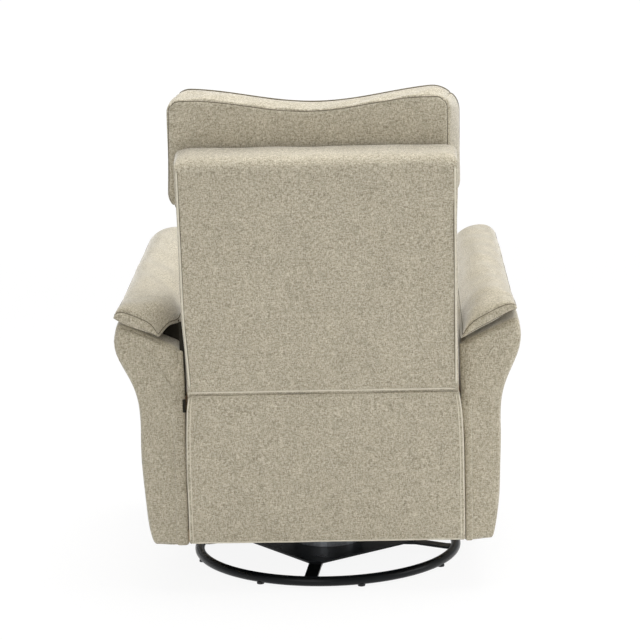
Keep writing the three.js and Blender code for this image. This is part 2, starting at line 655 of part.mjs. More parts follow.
function rearSkirt() {
  const outline = [
    [skirt.bottomY - skirt.thickness, skirt.bottom], [skirt.bottomY, skirt.bottom], [skirt.topY, skirt.top],
    [skirtInnerAt(skirt.top - skirt.bevel), skirt.top - skirt.bevel],
  ];
  return join(uprightPlate(polygon(outline), [-skirt.half, skirt.half]));
}

add('rear_skirt', rearSkirt(), 'fabric');

// Backrest. Its local Y runs to the rear and its local Z up the back, from the hinge.

const leant = (geometry) => geometry.clone().rotateX(-lean).translate(0, hinge.y, hinge.z);

function backShell() {
  const knuckle = back.rearDepth;
  const profile = new THREE.Shape();
  profile.moveTo(backFront, -knuckle);
  profile.absarc(0, 0, knuckle, -Math.PI / 2, 0, false);
  profile.absarc(back.rearDepth - back.roll, back.height - back.roll, back.roll, 0, Math.PI / 2, false);
  profile.lineTo(backFront, back.height);
  const plan = rounded([
    [-back.frontHalf, backFront], [back.frontHalf, backFront],
    [back.rearHalf, back.rearDepth], [-back.rearHalf, back.rearDepth],
  ], back.corner);
  const body = common(
    uprightPlate(profile, [-back.frontHalf, back.frontHalf], 6),
    flatPlate(plan, span([-knuckle, back.height])),
  );
  const innerHalf = back.rearHalf - back.wall;
  const cavity = block(
    [-innerHalf, innerHalf],
    [backFront - overrun, back.rearDepth - back.wall],
    [-knuckle - overrun, back.height - back.wall],
  );
  return cut(body, cavity);
}

// A crescent head cushion: its top dips in the middle, its sides curve forward into wings
const headStationShares = [0, 0.3, 0.6, 0.8, 0.9, 0.96, 1];
const headDrops = [28, 23, 8, 0, 10, 34, 110];
const headLifts = [0, 0, 0, 0, 2, 8, 30];
const headInsets = [0, 0, 0, 2, 5, 12, 30];
// Its section, from the lower rear corner round to the lower front one, as [share of depth, share of height]
const headOutlineShares = [
  [0.12, 0], [0.02, 0.06], [0, 0.25], [0, 0.7], [0, 0.96], [0.08, 1.01], [0.25, 1.035], [0.4, 1.035],
  [0.56, 0.99], [0.78, 0.9], [0.95, 0.72], [1, 0.5], [1, 0.25], [0.96, 0.08], [0.85, 0],
];

function headCushion() {
  const sides = [
    ...headStationShares.map((share, i) => [-share, i]).reverse(),
    ...headStationShares.map((share, i) => [share, i]).slice(1),
  ];
  const rings = sides.map(([share, i]) => {
    const bottom = lumbar.top + gap + headLifts[i];
    const top = headPad.top - headDrops[i];
    const rear = cushionRear - headInsets[i];
    const front = cushionRear - headPad.thickness + headInsets[i] - headPad.wing * share ** 4;
    const depthAt = (portion) => rear + (front - rear) * portion;
    const heightAt = (portion) => bottom + (top - bottom) * portion;
    return headOutlineShares.map(([depthShare, heightShare]) => new Vector3(
      share * headPad.half, depthAt(depthShare), heightAt(heightShare)));
  });
  return skin(rings);
}

const backPostBody = block(postLayer, [backFront, postRear], [backPost.bottom, backPost.top]);
const railReach = postLayer[0] - gap;
const [lowerBackRail, upperBackRail] = [backPost.bottom, backPost.top - backPost.rail].map((bottom) => (
  block([-railReach, railReach], [postRear - railThickness, postRear], [bottom, bottom + backPost.rail])));
const backSpringReach = (postLayer[0] + postLayer[1]) / 2;
const backSpringRow = Array.from({ length: backSpring.count }, (_, i) => {
  const height = backSpring.bottom + i * backSpring.pitch;
  return zigzag(2 * backSpringReach, (along, across) => (
    new Vector3(along - backSpringReach, backSpringDepth, height + across)));
});
const backTieHeights = span([backSpring.bottom, backSpring.bottom + (backSpring.count - 1) * backSpring.pitch]);
const backTies = [-1, 1].map((side) => (
  post([side * tieWire.spread * backSpringReach, backSpringDepth], backTieHeights, tieWire.radius, tieWire.sides)));
const hingeBracket = cut(
  flatBar([[0, 0], [0, backPost.bracketTop]], hinge.endRadius, outerLinkLayer),
  ...bores([[0, 0]], outerLinkLayer, linkPin),
);
const facing = axesOf([1, 0, 0], [0, -1, 0], [0, 0, 1]);
const lumbarCushion = cushion({
  along: [lumbar.bottom, lumbar.top],
  half: lumbar.half,
  through: [-cushionRear, lumbar.thickness - cushionRear - lumbar.crown],
  crown: lumbar.crown,
  drawIn: lumbar.drawIn,
}, facing);

add('back_shell', leant(backShell()), 'fabric');
addPair('back_post', leant(backPostBody), 'wood');
add('back_rail_lower', leant(lowerBackRail), 'wood');
add('back_rail_upper', leant(upperBackRail), 'wood');
add('back_springs', leant(join(...backSpringRow, ...backTies)), 'springSteel');
addPair('hinge_bracket', leant(hingeBracket), 'blackSteel');
add('lumbar_cushion', leant(lumbarCushion), 'fabric');
add('head_cushion', leant(headCushion()), 'fabric');

// Footrest: a double parallelogram on each side, joined by the torque tube

function driveFrame() {
  const side = join(
    flatBar([drivePivot, kneePivot, tiltOf(kneePivot)], footrest.linkRadius, outerLinkLayer),
    ...studs([kneePivot, tiltOf(kneePivot)], outerLinkLayer, innerLinkLayer, linkPin),
  );
  const reach = [-sidePlateLayer[1], sidePlateLayer[1]];
  const tube = rod(reach, drivePivot, footrest.tube, footrest.tubeSides);
  const inside = rod(span(reach), drivePivot, footrest.tube - footrest.tubeWall, footrest.tubeSides);
  return cut(join(bothSides(side), tube), inside);
}

function guideLink() {
  const pivots = [guideOf(drivePivot), guideOf(kneePivot)];
  const body = cut(flatBar(pivots, footrest.linkRadius, outerLinkLayer), ...bores([pivots[0]], outerLinkLayer, linkPin));
  return join(body, ...studs([pivots[1]], outerLinkLayer, innerLinkLayer, linkPin));
}

const innerLink = (pivots) => (
  cut(flatBar(pivots, footrest.linkRadius, innerLinkLayer), ...bores(pivots, innerLinkLayer, linkPin)));

// A leaf on two pivots, folded outward into a flange behind the footrest board
function boardBracket() {
  const pivots = [toePivot, tiltOf(toePivot)];
  const face = -(boardRear - gap);
  const edge = [pivots[1][0], pivots[0][1] + footrest.linkRadius];
  const leaf = uprightPlate(polygon([
    [face, bracket.bottom], [face + leafThickness, bracket.bottom],
    [edge[0], pivots[1][1] - footrest.linkRadius], edge, [face, edge[1]],
  ]), outerLinkLayer);
  const flange = block([outerLinkLayer[0], board.half], [face, face + leafThickness], [bracket.bottom, edge[1]]);
  const ears = flatBar(pivots, footrest.linkRadius, outerLinkLayer);
  return join(leaf, flange, ears, ...studs(pivots, outerLinkLayer, innerLinkLayer, linkPin));
}

const footrestPad = cushion({
  along: [board.bottom, board.top],
  half: board.padHalf,
  through: [boardFront + gap, rearReach - board.padCrown],
  crown: board.padCrown,
  drawIn: 0,
}, facing);

add('footrest_drive_frame', driveFrame(), 'blackSteel');
addPair('footrest_guide_link', guideLink(), 'blackSteel');
addPair('footrest_front_link', innerLink([guideOf(kneePivot), kneePivot, toePivot]), 'blackSteel');
addPair('footrest_tilt_link', innerLink([tiltOf(kneePivot), tiltOf(toePivot)]), 'blackSteel');
add('footrest_board', block([-board.half, board.half], [-boardFront, -boardRear], [board.bottom, board.top]), 'wood');
addPair('footrest_bracket', boardBracket(), 'blackSteel');
add('footrest_pad', footrestPad, 'fabric');

// Release pull: a ring whose stem slides in a housing on the inner face of the right arm

const pullX = -(seatHalf - gap - pull.depth / 2);
const pullTop = pull.bottom + pull.height;

function releaseHousing() {
  const half = pull.length / 2;
  const body = block(
    [pullX - pull.depth / 2, pullX + pull.depth / 2], [-pull.forward - half, -pull.forward + half], [pull.bottom, pullTop],
  );
  return cut(body, post([pullX, -pull.forward], span([pull.bottom, pullTop]), boreRadius(pull.stem, pull.sides), pull.sides));
}

function releasePull() {
  const layer = [pullX - pullRing.thickness / 2, pullX + pullRing.thickness / 2];
  const bottom = pullTop + pullRing.rest;
  const half = pullRing.width / 2;
  const frame = (inset) => rounded([
    [-pull.forward - half + inset, bottom + inset], [-pull.forward + half - inset, bottom + inset],
    [-pull.forward + half - inset, bottom + pullRing.height - inset],
    [-pull.forward - half + inset, bottom + pullRing.height - inset],
  ], pullRing.round);
  const handle = cut(uprightPlate(frame(0), layer), uprightPlate(frame(pullRing.bar), span(layer)));
  const stemHeights = [bottom - pull.stemLength, bottom + pullRing.bar / 2];
  return join(handle, post([pullX, -pull.forward], stemHeights, pull.stem, pull.sides));
}

add('release_housing', releaseHousing(), 'plastic');
add('release_pull', releasePull(), 'plastic');

export default chair;
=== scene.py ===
"""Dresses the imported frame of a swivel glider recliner: its covers, cushions, metal and timber, and a studio.

Sizes are in millimetres until a mesh is made. X is towards the sitter's left, Y towards the rear, Z up. The
backrest has axes of its own: Y across its thickness and Z up its slope, both from the recline hinge.
"""

import logging
import math
from dataclasses import dataclass, field
from enum import Enum
from typing import Callable, Sequence

import bpy
import numpy as np
from mathutils import Matrix, Vector


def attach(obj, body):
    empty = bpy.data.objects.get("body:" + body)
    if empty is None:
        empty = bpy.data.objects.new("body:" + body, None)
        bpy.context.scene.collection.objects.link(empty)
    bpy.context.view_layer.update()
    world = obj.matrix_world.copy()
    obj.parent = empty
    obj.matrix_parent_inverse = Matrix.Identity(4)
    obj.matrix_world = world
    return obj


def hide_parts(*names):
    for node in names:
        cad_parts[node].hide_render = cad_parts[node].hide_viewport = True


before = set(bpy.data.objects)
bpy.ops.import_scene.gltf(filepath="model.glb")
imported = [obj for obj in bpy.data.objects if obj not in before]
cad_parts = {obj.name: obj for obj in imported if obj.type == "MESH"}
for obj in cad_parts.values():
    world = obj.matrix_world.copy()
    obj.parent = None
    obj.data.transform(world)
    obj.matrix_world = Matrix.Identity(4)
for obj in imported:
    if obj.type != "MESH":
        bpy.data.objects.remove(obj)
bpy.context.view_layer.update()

MM = 0.001
TURN = 2 * math.pi
Array = np.ndarray
Warp = Callable[[Array], Array]
log = logging.getLogger("recliner")


# Shapes

@dataclass
class Surface:
    """A closed surface.

    Args:
        points: its points in mm, one row each.
        faces: the numbers of each face's points, four to a row, with -1 last in a triangle.
        finish: the number of the finish that its faces take.
    """

    points: Array
    faces: Array
    finish: int = 0

    def moved(self, warp: Warp) -> "Surface":
        """Returns the surface with its points put through a warp."""
        return Surface(warp(self.points), self.faces, self.finish)

    def outward(self) -> "Surface":
        """Turns the faces outwards: the signed volume of the tetrahedra from the middle to each face comes
        out positive.

        Returns:
            The surface with its faces outwards.
        """
        a, b, c = (self.points[self.faces[:, i]] - self.points.mean(axis=0) for i in range(3))
        volume = np.einsum("ij,ij->i", a, np.cross(b, c)).sum()
        if volume > 0:
            return self
        four = self.faces[:, 3:] >= 0
        turned = np.where(four, self.faces[:, ::-1], self.faces[:, [2, 1, 0, 3]])
        return Surface(self.points, turned, self.finish)


def grid_faces(rows: int, columns: int, wrap_rows: bool = False, wrap_columns: bool = False) -> Array:
    """Numbers the four corners of each cell of a grid of points.

    Args:
        rows, columns: the grid's size.
        wrap_rows, wrap_columns: whether the last row or column joins the first.

    Returns:
        One row of four point numbers for each cell.
    """
    cell_rows, cell_columns = rows - (not wrap_rows), columns - (not wrap_columns)
    i, j = np.meshgrid(np.arange(cell_rows), np.arange(cell_columns), indexing="ij")
    i, j = i.ravel(), j.ravel()
    next_i, next_j = (i + 1) % rows, (j + 1) % columns
    corners = [i * columns + j, next_i * columns + j, next_i * columns + next_j, i * columns + next_j]
    return np.stack(corners, axis=1)


def unit(vectors: Array) -> Array:
    """Returns each row at length one."""
    return vectors / np.maximum(np.linalg.norm(vectors, axis=-1, keepdims=True), 1e-9)


def eased(value: Array, start: float, end: float) -> Array:
    """Returns 0 before start and 1 after end, and between them 3t^2 - 2t^3 of the share t of the way."""
    share = np.clip((value - start) / (end - start), 0, 1)
    return share * share * (3 - 2 * share)


def traced(value: Array, stops: Sequence[float], heights: Sequence[float], blur: float) -> Array:
    """Follows a broken line with its corners rounded: the mean of the line at nine places within blur.

    Args:
        value: where to read the line.
        stops, heights: the line's corners.
        blur: how far to each side the mean reaches.

    Returns:
        The line's height at each value.
    """
    places = value[..., None] + blur * np.linspace(-1, 1, 9)
    return np.interp(places, stops, heights).mean(axis=-1)


def in_circle(out: Array, up: Array, radius: Array | float) -> Array:
    """Rounds a corner off: where both distances past its centre are positive and reach past the radius, they
    shrink alike until they reach it.

    Args:
        out, up: the distances past the corner's centre.
        radius: the corner's radius.

    Returns:
        The share by which both shrink.
    """
    reach = np.hypot(out, up)
    return np.where((out > 0) & (up > 0) & (reach > radius), radius / np.maximum(reach, 1e-6), 1)


def square_to_disc(out: Array, up: Array) -> Array:
    """Rounds a corner off and keeps its inset lines parallel: each square round the corner's centre becomes
    the circle inside it.

    Args:
        out, up: the distances past the corner's centre.

    Returns:
        The share by which both shrink: the larger of the two over their distance.
    """
    reach = np.maximum(np.hypot(out, up), 1e-6)
    return np.where((out > 0) & (up > 0), np.maximum(out, up) / reach, 1)


@dataclass(frozen=True)
class Fold:
    """A soft crease in a cover.

    Args:
        start, end: its ends, on two of the cover's axes.
        depth, width: how deep it is, and how wide.
    """

    start: tuple[float, float]
    end: tuple[float, float]
    depth: float
    width: float

    def rise(self, u: Array, v: Array) -> Array:
        """Works out the dip: a bell curve across the crease that fades towards its ends, with a lower bell
        curve of the opposite sign beside it.

        Args:
            u, v: where to read it, on the cover's two axes.

        Returns:
            The rise at each place, below 0 in the crease.
        """
        start, end = np.array(self.start), np.array(self.end)
        length = np.linalg.norm(end - start)
        way = (end - start) / length
        run = (u - start[0]) * way[0] + (v - start[1]) * way[1]
        off = (v - start[1]) * way[0] - (u - start[0]) * way[1]
        fade = eased(run, 0, 0.35 * length) * (1 - eased(run, 0.55 * length, length))
        bell = np.exp(-(off / self.width) ** 2) - 0.6 * np.exp(-((off - 1.9 * self.width) / self.width) ** 2)
        return -self.depth * fade * bell


def ripple(points: Array, height: float, length: float, seed: int) -> Array:
    """Gives stuffed cloth its unevenness: a sum of eight sine waves in seeded directions and phases.

    Args:
        points: where to read it, in mm.
        height: about how far it rises and falls.
        length: about how long a wave is.
        seed: the seed of the directions and phases.

    Returns:
        The rise at each point.
    """
    chance = np.random.default_rng(seed)
    count = 8
    waves = unit(chance.normal(size=(count, 3))) * (TURN / length) * chance.uniform(0.55, 1.7, (count, 1))
    return height / 2 * np.sin(points @ waves.T + chance.uniform(0, TURN, count)).sum(axis=-1)


@dataclass
class Block:
    """A block with rounded edges, as a grid on each of its six faces.

    Args:
        half: half its width, depth and height.
        radius: the radius of its edges.
        spacing: the width of a cell on the flats.
        turns: the number of cells in an eighth of a turn round an edge.
    """

    half: Sequence[float]
    radius: float
    spacing: float = 12
    turns: int = 5

    def stops(self, axis: int) -> Array:
        """Places the grid's lines on one axis: evenly on the flat, and at flat + radius * tan(angle) for even
        angles round the edge.

        Args:
            axis: 0, 1 or 2 for width, depth or height.

        Returns:
            The places of the lines, from low to high.
        """
        flat = self.half[axis] - self.radius
        count = max(1, round(2 * flat / self.spacing)) + 1
        edge = flat + self.radius * np.tan(np.linspace(0, math.pi / 4, self.turns + 1)[1:])
        return np.concatenate([-edge[::-1], np.linspace(-flat, flat, count), edge])

    def surface(self, finish: int = 0) -> Surface:
        """Builds the block: each point of a plain box is moved to the point at the radius from the inner box
        that is smaller by the radius all round, on the line from its nearest point there.

        Args:
            finish: the number of its finish.

        Returns:
            The closed surface, round the origin.
        """
        half = np.array(self.half, float)
        points, faces, count = [], [], 0
        for axis in range(3):
            across, along = (axis + 1) % 3, (axis + 2) % 3
            u, v = np.meshgrid(self.stops(across), self.stops(along), indexing="ij")
            for side in (-1, 1):
                sheet = np.empty(u.shape + (3,))
                sheet[..., axis], sheet[..., across], sheet[..., along] = side * half[axis], u, v
                cells = grid_faces(*u.shape)
                points.append(sheet.reshape(-1, 3))
                faces.append(count + (cells if side > 0 else cells[:, ::-1]))
                count += u.size
        box = np.vstack(points)
        core = np.clip(box, self.radius - half, half - self.radius)
        placed = core + self.radius * unit(box - core)
        _, first, same = np.unique(np.round(placed, 4), axis=0, return_index=True, return_inverse=True)
        return Surface(placed[first], same.ravel()[np.vstack(faces)], finish)

    def outward_of(self, points: Array) -> Array:
        """Returns the direction out of the block at each of its points."""
        half = np.array(self.half, float)
        return unit(points - np.clip(points, self.radius - half, half - self.radius))

    def from_seam(self, points: Array, axis: int, side: int) -> Array:
        """Measures from the line halfway round the edge of one face: the radius times the angle from it."""
        rise = np.clip(side * self.outward_of(points)[:, axis], -1, 1)
        return self.radius * (np.arcsin(rise) - math.pi / 4)

    def seam(self, axis: int, side: int, spacing: float = 7) -> Array:
        """Traces the line halfway round the edge of one face: a rectangle whose corners are quarter circles.

        Args:
            axis, side: which face.
            spacing: the distance between points.

        Returns:
            The points of a closed line.
        """
        across, along = (axis + 1) % 3, (axis + 2) % 3
        steps = 9
        bend = self.radius * math.sqrt(0.5)
        flat = np.array(self.half, float) - self.radius
        angle = (np.arange(4)[:, None] * math.pi / 2 + np.linspace(0, math.pi / 2, steps)).ravel()
        middle = np.repeat([[1, 1], [-1, 1], [-1, -1], [1, -1]], steps, axis=0) * [flat[across], flat[along]]
        corner = middle + bend * np.stack([np.cos(angle), np.sin(angle)], axis=1)
        loop = resampled(np.vstack([corner, corner[:1]]), spacing)[:-1]
        line = np.empty((len(loop), 3))
        line[:, axis], line[:, [across, along]] = side * (flat[axis] + bend), loop
        return line


def resampled(path: Array, spacing: float) -> Array:
    """Divides a broken line evenly.

    Args:
        path: its points.
        spacing: about how far apart the new points are.

    Returns:
        The new points, with both ends among them.
    """
    steps = np.linalg.norm(np.diff(path, axis=0), axis=1)
    run = np.concatenate([[0], np.cumsum(steps)])
    places = np.linspace(0, run[-1], max(2, round(run[-1] / spacing)) + 1)
    return np.stack([np.interp(places, run, column) for column in path.T], axis=1)


def cord_along(path: Array, radius: float, finish: int = 0, closed: bool = True, sides: int = 8) -> Surface:
    """Carries a circle along a line: each ring is the circle across the line's direction there. An open
    line's ends narrow to a point.

    Args:
        path: the line's points.
        radius: the circle's radius.
        finish: the number of its finish.
        closed: whether the last point joins the first.
        sides: the number of points in a ring.

    Returns:
        The closed surface.
    """
    if closed:
        ahead = unit(np.roll(path, -1, axis=0) - np.roll(path, 1, axis=0))
    else:
        ahead = unit(np.gradient(path, axis=0))
    upright = abs(ahead @ [0, 0, 1]).mean() > 0.6
    spare = [0.31, 0.87, 0.38] if upright else [0.07, 0.11, 0.99]
    aside = unit(np.cross(ahead, spare))
    above = np.cross(aside, ahead)
    angle = np.arange(sides) * TURN / sides
    width = np.full(len(path), radius)
    if not closed:
        width[[0, -1]] = radius * 0.35
    rings = path[:, None] + width[:, None, None] * (
        np.cos(angle)[:, None] * aside[:, None] + np.sin(angle)[:, None] * above[:, None])
    faces = grid_faces(len(path), sides, wrap_rows=closed, wrap_columns=True)
    points = rings.reshape(-1, 3)
    if not closed:
        points = np.vstack([points, path[:1] - ahead[:1] * radius / 2, path[-1:] + ahead[-1:] * radius / 2])
        faces = np.vstack([faces, end_caps(len(path), sides)])
    return Surface(points, faces, finish).outward()


def end_caps(rows: int, sides: int) -> Array:
    """Closes both ends of a tube with triangles to two tips, whose numbers follow those of its rings.

    Args:
        rows: the number of rings.
        sides: the number of points in a ring.

    Returns:
        The triangles, with -1 for their fourth corner.
    """
    ring = np.arange(sides)
    first, last = ring, ring + (rows - 1) * sides
    tip, none = np.full_like(ring, rows * sides), np.full_like(ring, -1)
    return np.vstack([
        np.stack([np.roll(first, -1), first, tip, none], axis=1),
        np.stack([last, np.roll(last, -1), tip + 1, none], axis=1)])


def turned(profile: Array, sides: int, finish: int = 0) -> Surface:
    """Turns a profile round the Z axis, and closes both ends on the axis.

    Args:
        profile: its points, each a radius and a height.
        sides: the number of points in a ring.
        finish: the number of its finish.

    Returns:
        The closed surface.
    """
    angle = np.arange(sides) * TURN / sides
    rings = np.stack([
        profile[:, :1] * np.cos(angle), profile[:, :1] * np.sin(angle),
        np.broadcast_to(profile[:, 1:], (len(profile), sides))], axis=-1)
    points = np.vstack([rings.reshape(-1, 3), [0, 0, profile[0, 1]], [0, 0, profile[-1, 1]]])
    faces = np.vstack([grid_faces(len(profile), sides, wrap_columns=True), end_caps(len(profile), sides)])
    return Surface(points, faces, finish).outward()


def make_piece(
    name: str, surfaces: Sequence[Surface], finishes: Sequence[bpy.types.Material]
) -> bpy.types.Object:
    """Makes one smooth mesh object of some surfaces, with whole arrays.

    Args:
        name: the object's name.
        surfaces: what it is made of, in mm.
        finishes: its materials, in the order of the surfaces' finish numbers.

    Returns:
        The object, at the origin, with its place in its mesh.
    """
    starts = np.cumsum([0] + [len(s.points) for s in surfaces])
    points = np.vstack([s.points for s in surfaces]) * MM
    faces = np.vstack([np.where(s.faces >= 0, s.faces + start, -1) for s, start in zip(surfaces, starts)])
    corners = (faces >= 0).sum(axis=1)
    mesh = bpy.data.meshes.new(name)
    mesh.vertices.add(len(points))
    mesh.vertices.foreach_set("co", points.ravel().astype(np.float32))
    mesh.loops.add(int(corners.sum()))
    mesh.loops.foreach_set("vertex_index", faces[faces >= 0].astype(np.int32))
    mesh.polygons.add(len(faces))
    mesh.polygons.foreach_set("loop_start", np.concatenate([[0], np.cumsum(corners)[:-1]]).astype(np.int32))
    mesh.polygons.foreach_set("loop_total", corners.astype(np.int32))
    mesh.polygons.foreach_set("use_smooth", np.ones(len(faces), bool))
    for finish in finishes:
        mesh.materials.append(finish)
    numbers = np.concatenate([np.full(len(s.faces), s.finish) for s in surfaces])
    mesh.polygons.foreach_set("material_index", numbers.astype(np.int32))
    mesh.update(calc_edges=True)
    mesh.validate()
    piece = bpy.data.objects.new(name, mesh)
    bpy.context.scene.collection.objects.link(piece)
    log.info("%s: %d points, %d faces", name, len(points), len(faces))
    return piece


def inflated(surface: Surface, free: Array, limit: float, pressure: float = 4) -> Surface:
    """Blows up a cushion's cover as cloth, with its seams and hidden faces held.

    Args:
        surface: the cover before it is filled.
        free: how free each point is, from 0 where it is held to 1.
        limit: the furthest that a point may move, in mm.
        pressure: the cloth's inner pressure.

    Returns:
        The filled cover, with the same faces.
    """
    last_step = 20
    piece = make_piece("cover_being_filled", [surface], [])
    held = piece.vertex_groups.new(name="held")
    for level in np.unique(np.round(1 - free, 1)):
        numbers = np.flatnonzero(np.round(1 - free, 1) == level)
        if level > 0:
            held.add(numbers.tolist(), float(level), "REPLACE")
    cloth = piece.modifiers.new("filling", "CLOTH")
    cloth.settings.quality = 5
    cloth.settings.mass = 0.3
    cloth.settings.tension_stiffness = cloth.settings.compression_stiffness = 12
    cloth.settings.bending_stiffness = 2.0
    cloth.settings.use_pressure = True
    cloth.settings.uniform_pressure_force = pressure
    cloth.settings.effector_weights.gravity = 0
    cloth.settings.vertex_group_mass = held.name
    cloth.point_cache.frame_start, cloth.point_cache.frame_end = 1, last_step
    scene = bpy.context.scene
    for step in range(1, last_step + 1):
        scene.frame_set(step)
    filled = piece.evaluated_get(bpy.context.evaluated_depsgraph_get()).data
    places = np.empty(3 * len(surface.points), np.float32)
    filled.vertices.foreach_get("co", places)
    moved = places.reshape(-1, 3) / MM - surface.points
    far = np.linalg.norm(moved, axis=1, keepdims=True)
    moved *= limit * np.tanh(far / limit) / np.maximum(far, 1e-6)
    scene.frame_set(1)
    mesh = piece.data
    bpy.data.objects.remove(piece)
    bpy.data.meshes.remove(mesh)
    return Surface(surface.points + moved, surface.faces, surface.finish)


# Finishes

def linear(hex_colour: str) -> tuple[float, float, float, float]:
    """Turns an sRGB hex colour into linear red, green, blue and alpha."""
    parts = [int(hex_colour.lstrip("#")[i:i + 2], 16) / 255 for i in (0, 2, 4)]
    return tuple(p / 12.92 if p <= 0.04045 else ((p + 0.055) / 1.055) ** 2.4 for p in parts) + (1.0,)


def add_node(tree: bpy.types.NodeTree, kind: str, inputs: dict | None = None, **settings) -> bpy.types.Node:
    """Adds a node with its settings, input values and links.

    Args:
        tree: where it goes.
        kind: the node's type.
        inputs: by socket name or number, a value or another node's output.
        settings: the node's own properties.

    Returns:
        The node.
    """
    made = tree.nodes.new(kind)
    for name, value in settings.items():
        setattr(made, name, value)
    for key, value in (inputs or {}).items():
        if isinstance(value, bpy.types.NodeSocket):
            tree.links.new(value, made.inputs[key])
        else:
            made.inputs[key].default_value = value
    return made


def new_material(name: str) -> tuple[bpy.types.Material, bpy.types.NodeTree, bpy.types.NodeSocket]:
    """Starts an empty material.

    Args:
        name: its name.

    Returns:
        The material, its tree and its Object coordinates.
    """
    material = bpy.data.materials.new(name)
    material.use_nodes = True
    tree = material.node_tree
    tree.nodes.clear()
    return material, tree, add_node(tree, "ShaderNodeTexCoord").outputs["Object"]


def per_metre(millimetres: float) -> float:
    """Returns the scale at which a noise has features of about this size."""
    return 1000 / millimetres


@dataclass(frozen=True)
class ChenilleCloth:
    """Woven chenille upholstery: matt pile yarns of several beiges, paler where light grazes the pile.

    Args:
        name: the material's name.
        yarn, pale, dark: the colours of its yarns.
        yarn_width: the width of a yarn in mm. Real yarn is about 1.2 mm wide, too fine to show here, so it is
            drawn about twice as coarse.
        run: the length of one stretch of a colour along a yarn.
        relief: the strength of the weave's bumps.
        sheen: how strongly grazing light catches the pile.
    """

    name: str
    yarn: str
    pale: str
    dark: str
    yarn_width: float = 2.1
    run: float = 7
    relief: float = 0.55
    sheen: float = 0.85

    def material(self) -> bpy.types.Material:
        """Builds it: noise drawn out along each of the three axes in turn gives the yarns of both directions
        on any face, and softer noise the mottling of the pile.
        """
        material, tree, place = new_material(self.name)
        thin, long = per_metre(self.yarn_width), per_metre(self.run)
        yarns = []
        for axis in range(3):
            scale = [thin, thin, thin]
            scale[axis] = long
            mapped = add_node(tree, "ShaderNodeMapping", {"Vector": place, "Scale": scale})
            noise = add_node(tree, "ShaderNodeTexNoise", {
                "Vector": mapped.outputs[0], "Scale": 1.0, "Detail": 2.0, "Roughness": 0.6})
            yarns.append(noise.outputs["Fac"])
        pair = add_node(tree, "ShaderNodeMath", {0: yarns[0], 1: yarns[1]}, operation="ADD")
        weave = add_node(tree, "ShaderNodeMath", {0: pair.outputs[0], 1: yarns[2]}, operation="ADD")
        mottle = add_node(tree, "ShaderNodeTexNoise", {
            "Vector": place, "Scale": per_metre(38), "Detail": 3.0, "Roughness": 0.55})
        pale_share = add_node(tree, "ShaderNodeMapRange", {
            "Value": weave.outputs[0], "From Min": 1.5, "From Max": 1.86})
        dark_share = add_node(tree, "ShaderNodeMapRange", {
            "Value": weave.outputs[0], "From Min": 1.5, "From Max": 1.14})
        with_pale = add_node(tree, "ShaderNodeMix", {
            "Factor": pale_share.outputs[0], 6: linear(self.yarn), 7: linear(self.pale)}, data_type="RGBA")
        with_dark = add_node(tree, "ShaderNodeMix", {
            "Factor": dark_share.outputs[0], 6: with_pale.outputs[2], 7: linear(self.dark)}, data_type="RGBA")
        shade = add_node(tree, "ShaderNodeMapRange", {
            "Value": mottle.outputs["Fac"], "From Min": 0.3, "From Max": 0.7, "To Min": 0.95, "To Max": 1.04})
        colour = add_node(tree, "ShaderNodeMix", {
            "Factor": 1.0, 6: with_dark.outputs[2], 7: shade.outputs[0],
        }, data_type="RGBA", blend_type="MULTIPLY")
        bump = add_node(tree, "ShaderNodeBump", {
            "Height": weave.outputs[0], "Strength": self.relief, "Distance": 0.0016})
        shader = add_node(tree, "ShaderNodeBsdfPrincipled", {
            "Base Color": colour.outputs[2], "Roughness": 0.95, "Normal": bump.outputs[0],
            "Sheen Weight": self.sheen, "Sheen Roughness": 0.4, "Sheen Tint": linear("#FFFDF8"),
            "Specular IOR Level": 0.18})
        add_node(tree, "ShaderNodeOutputMaterial", {"Surface": shader.outputs[0]})
        return material


@dataclass(frozen=True)
class Coating:
    """A surface whose colour and gloss vary a little: powder coat, zinc plate, wire, plastic or thread.

    Args:
        name: the material's name.
        colour, other: the two colours that it varies between.
        metallic, roughness: the shader's values.
        patch: the size of a patch of a colour in mm.
        grain: the size of a bump in mm.
        relief: the strength of the bumps.
        specular: the strength of its plain reflection.
    """

    name: str
    colour: str
    other: str
    metallic: float
    roughness: float
    patch: float
    grain: float
    relief: float
    specular: float = 0.5

    def material(self) -> bpy.types.Material:
        """Builds it: wide noise for colour and gloss, fine noise for the bumps."""
        material, tree, place = new_material(self.name)
        patches = add_node(tree, "ShaderNodeTexNoise", {
            "Vector": place, "Scale": per_metre(self.patch), "Detail": 4.0, "Roughness": 0.6})
        grain = add_node(tree, "ShaderNodeTexNoise", {
            "Vector": place, "Scale": per_metre(self.grain), "Detail": 2.0, "Roughness": 0.5})
        share = add_node(tree, "ShaderNodeMapRange", {
            "Value": patches.outputs["Fac"], "From Min": 0.35, "From Max": 0.68})
        colour = add_node(tree, "ShaderNodeMix", {
            "Factor": share.outputs[0], 6: linear(self.colour), 7: linear(self.other)}, data_type="RGBA")
        gloss = add_node(tree, "ShaderNodeMapRange", {
            "Value": patches.outputs["Fac"], "From Min": 0.3, "From Max": 0.7,
            "To Min": self.roughness - 0.05, "To Max": self.roughness + 0.07})
        bump = add_node(tree, "ShaderNodeBump", {
            "Height": grain.outputs["Fac"], "Strength": self.relief, "Distance": 0.0006})
        shader = add_node(tree, "ShaderNodeBsdfPrincipled", {
            "Base Color": colour.outputs[2], "Roughness": gloss.outputs[0], "Metallic": self.metallic,
            "Specular IOR Level": self.specular, "Normal": bump.outputs[0]})
        add_node(tree, "ShaderNodeOutputMaterial", {"Surface": shader.outputs[0]})
        return material


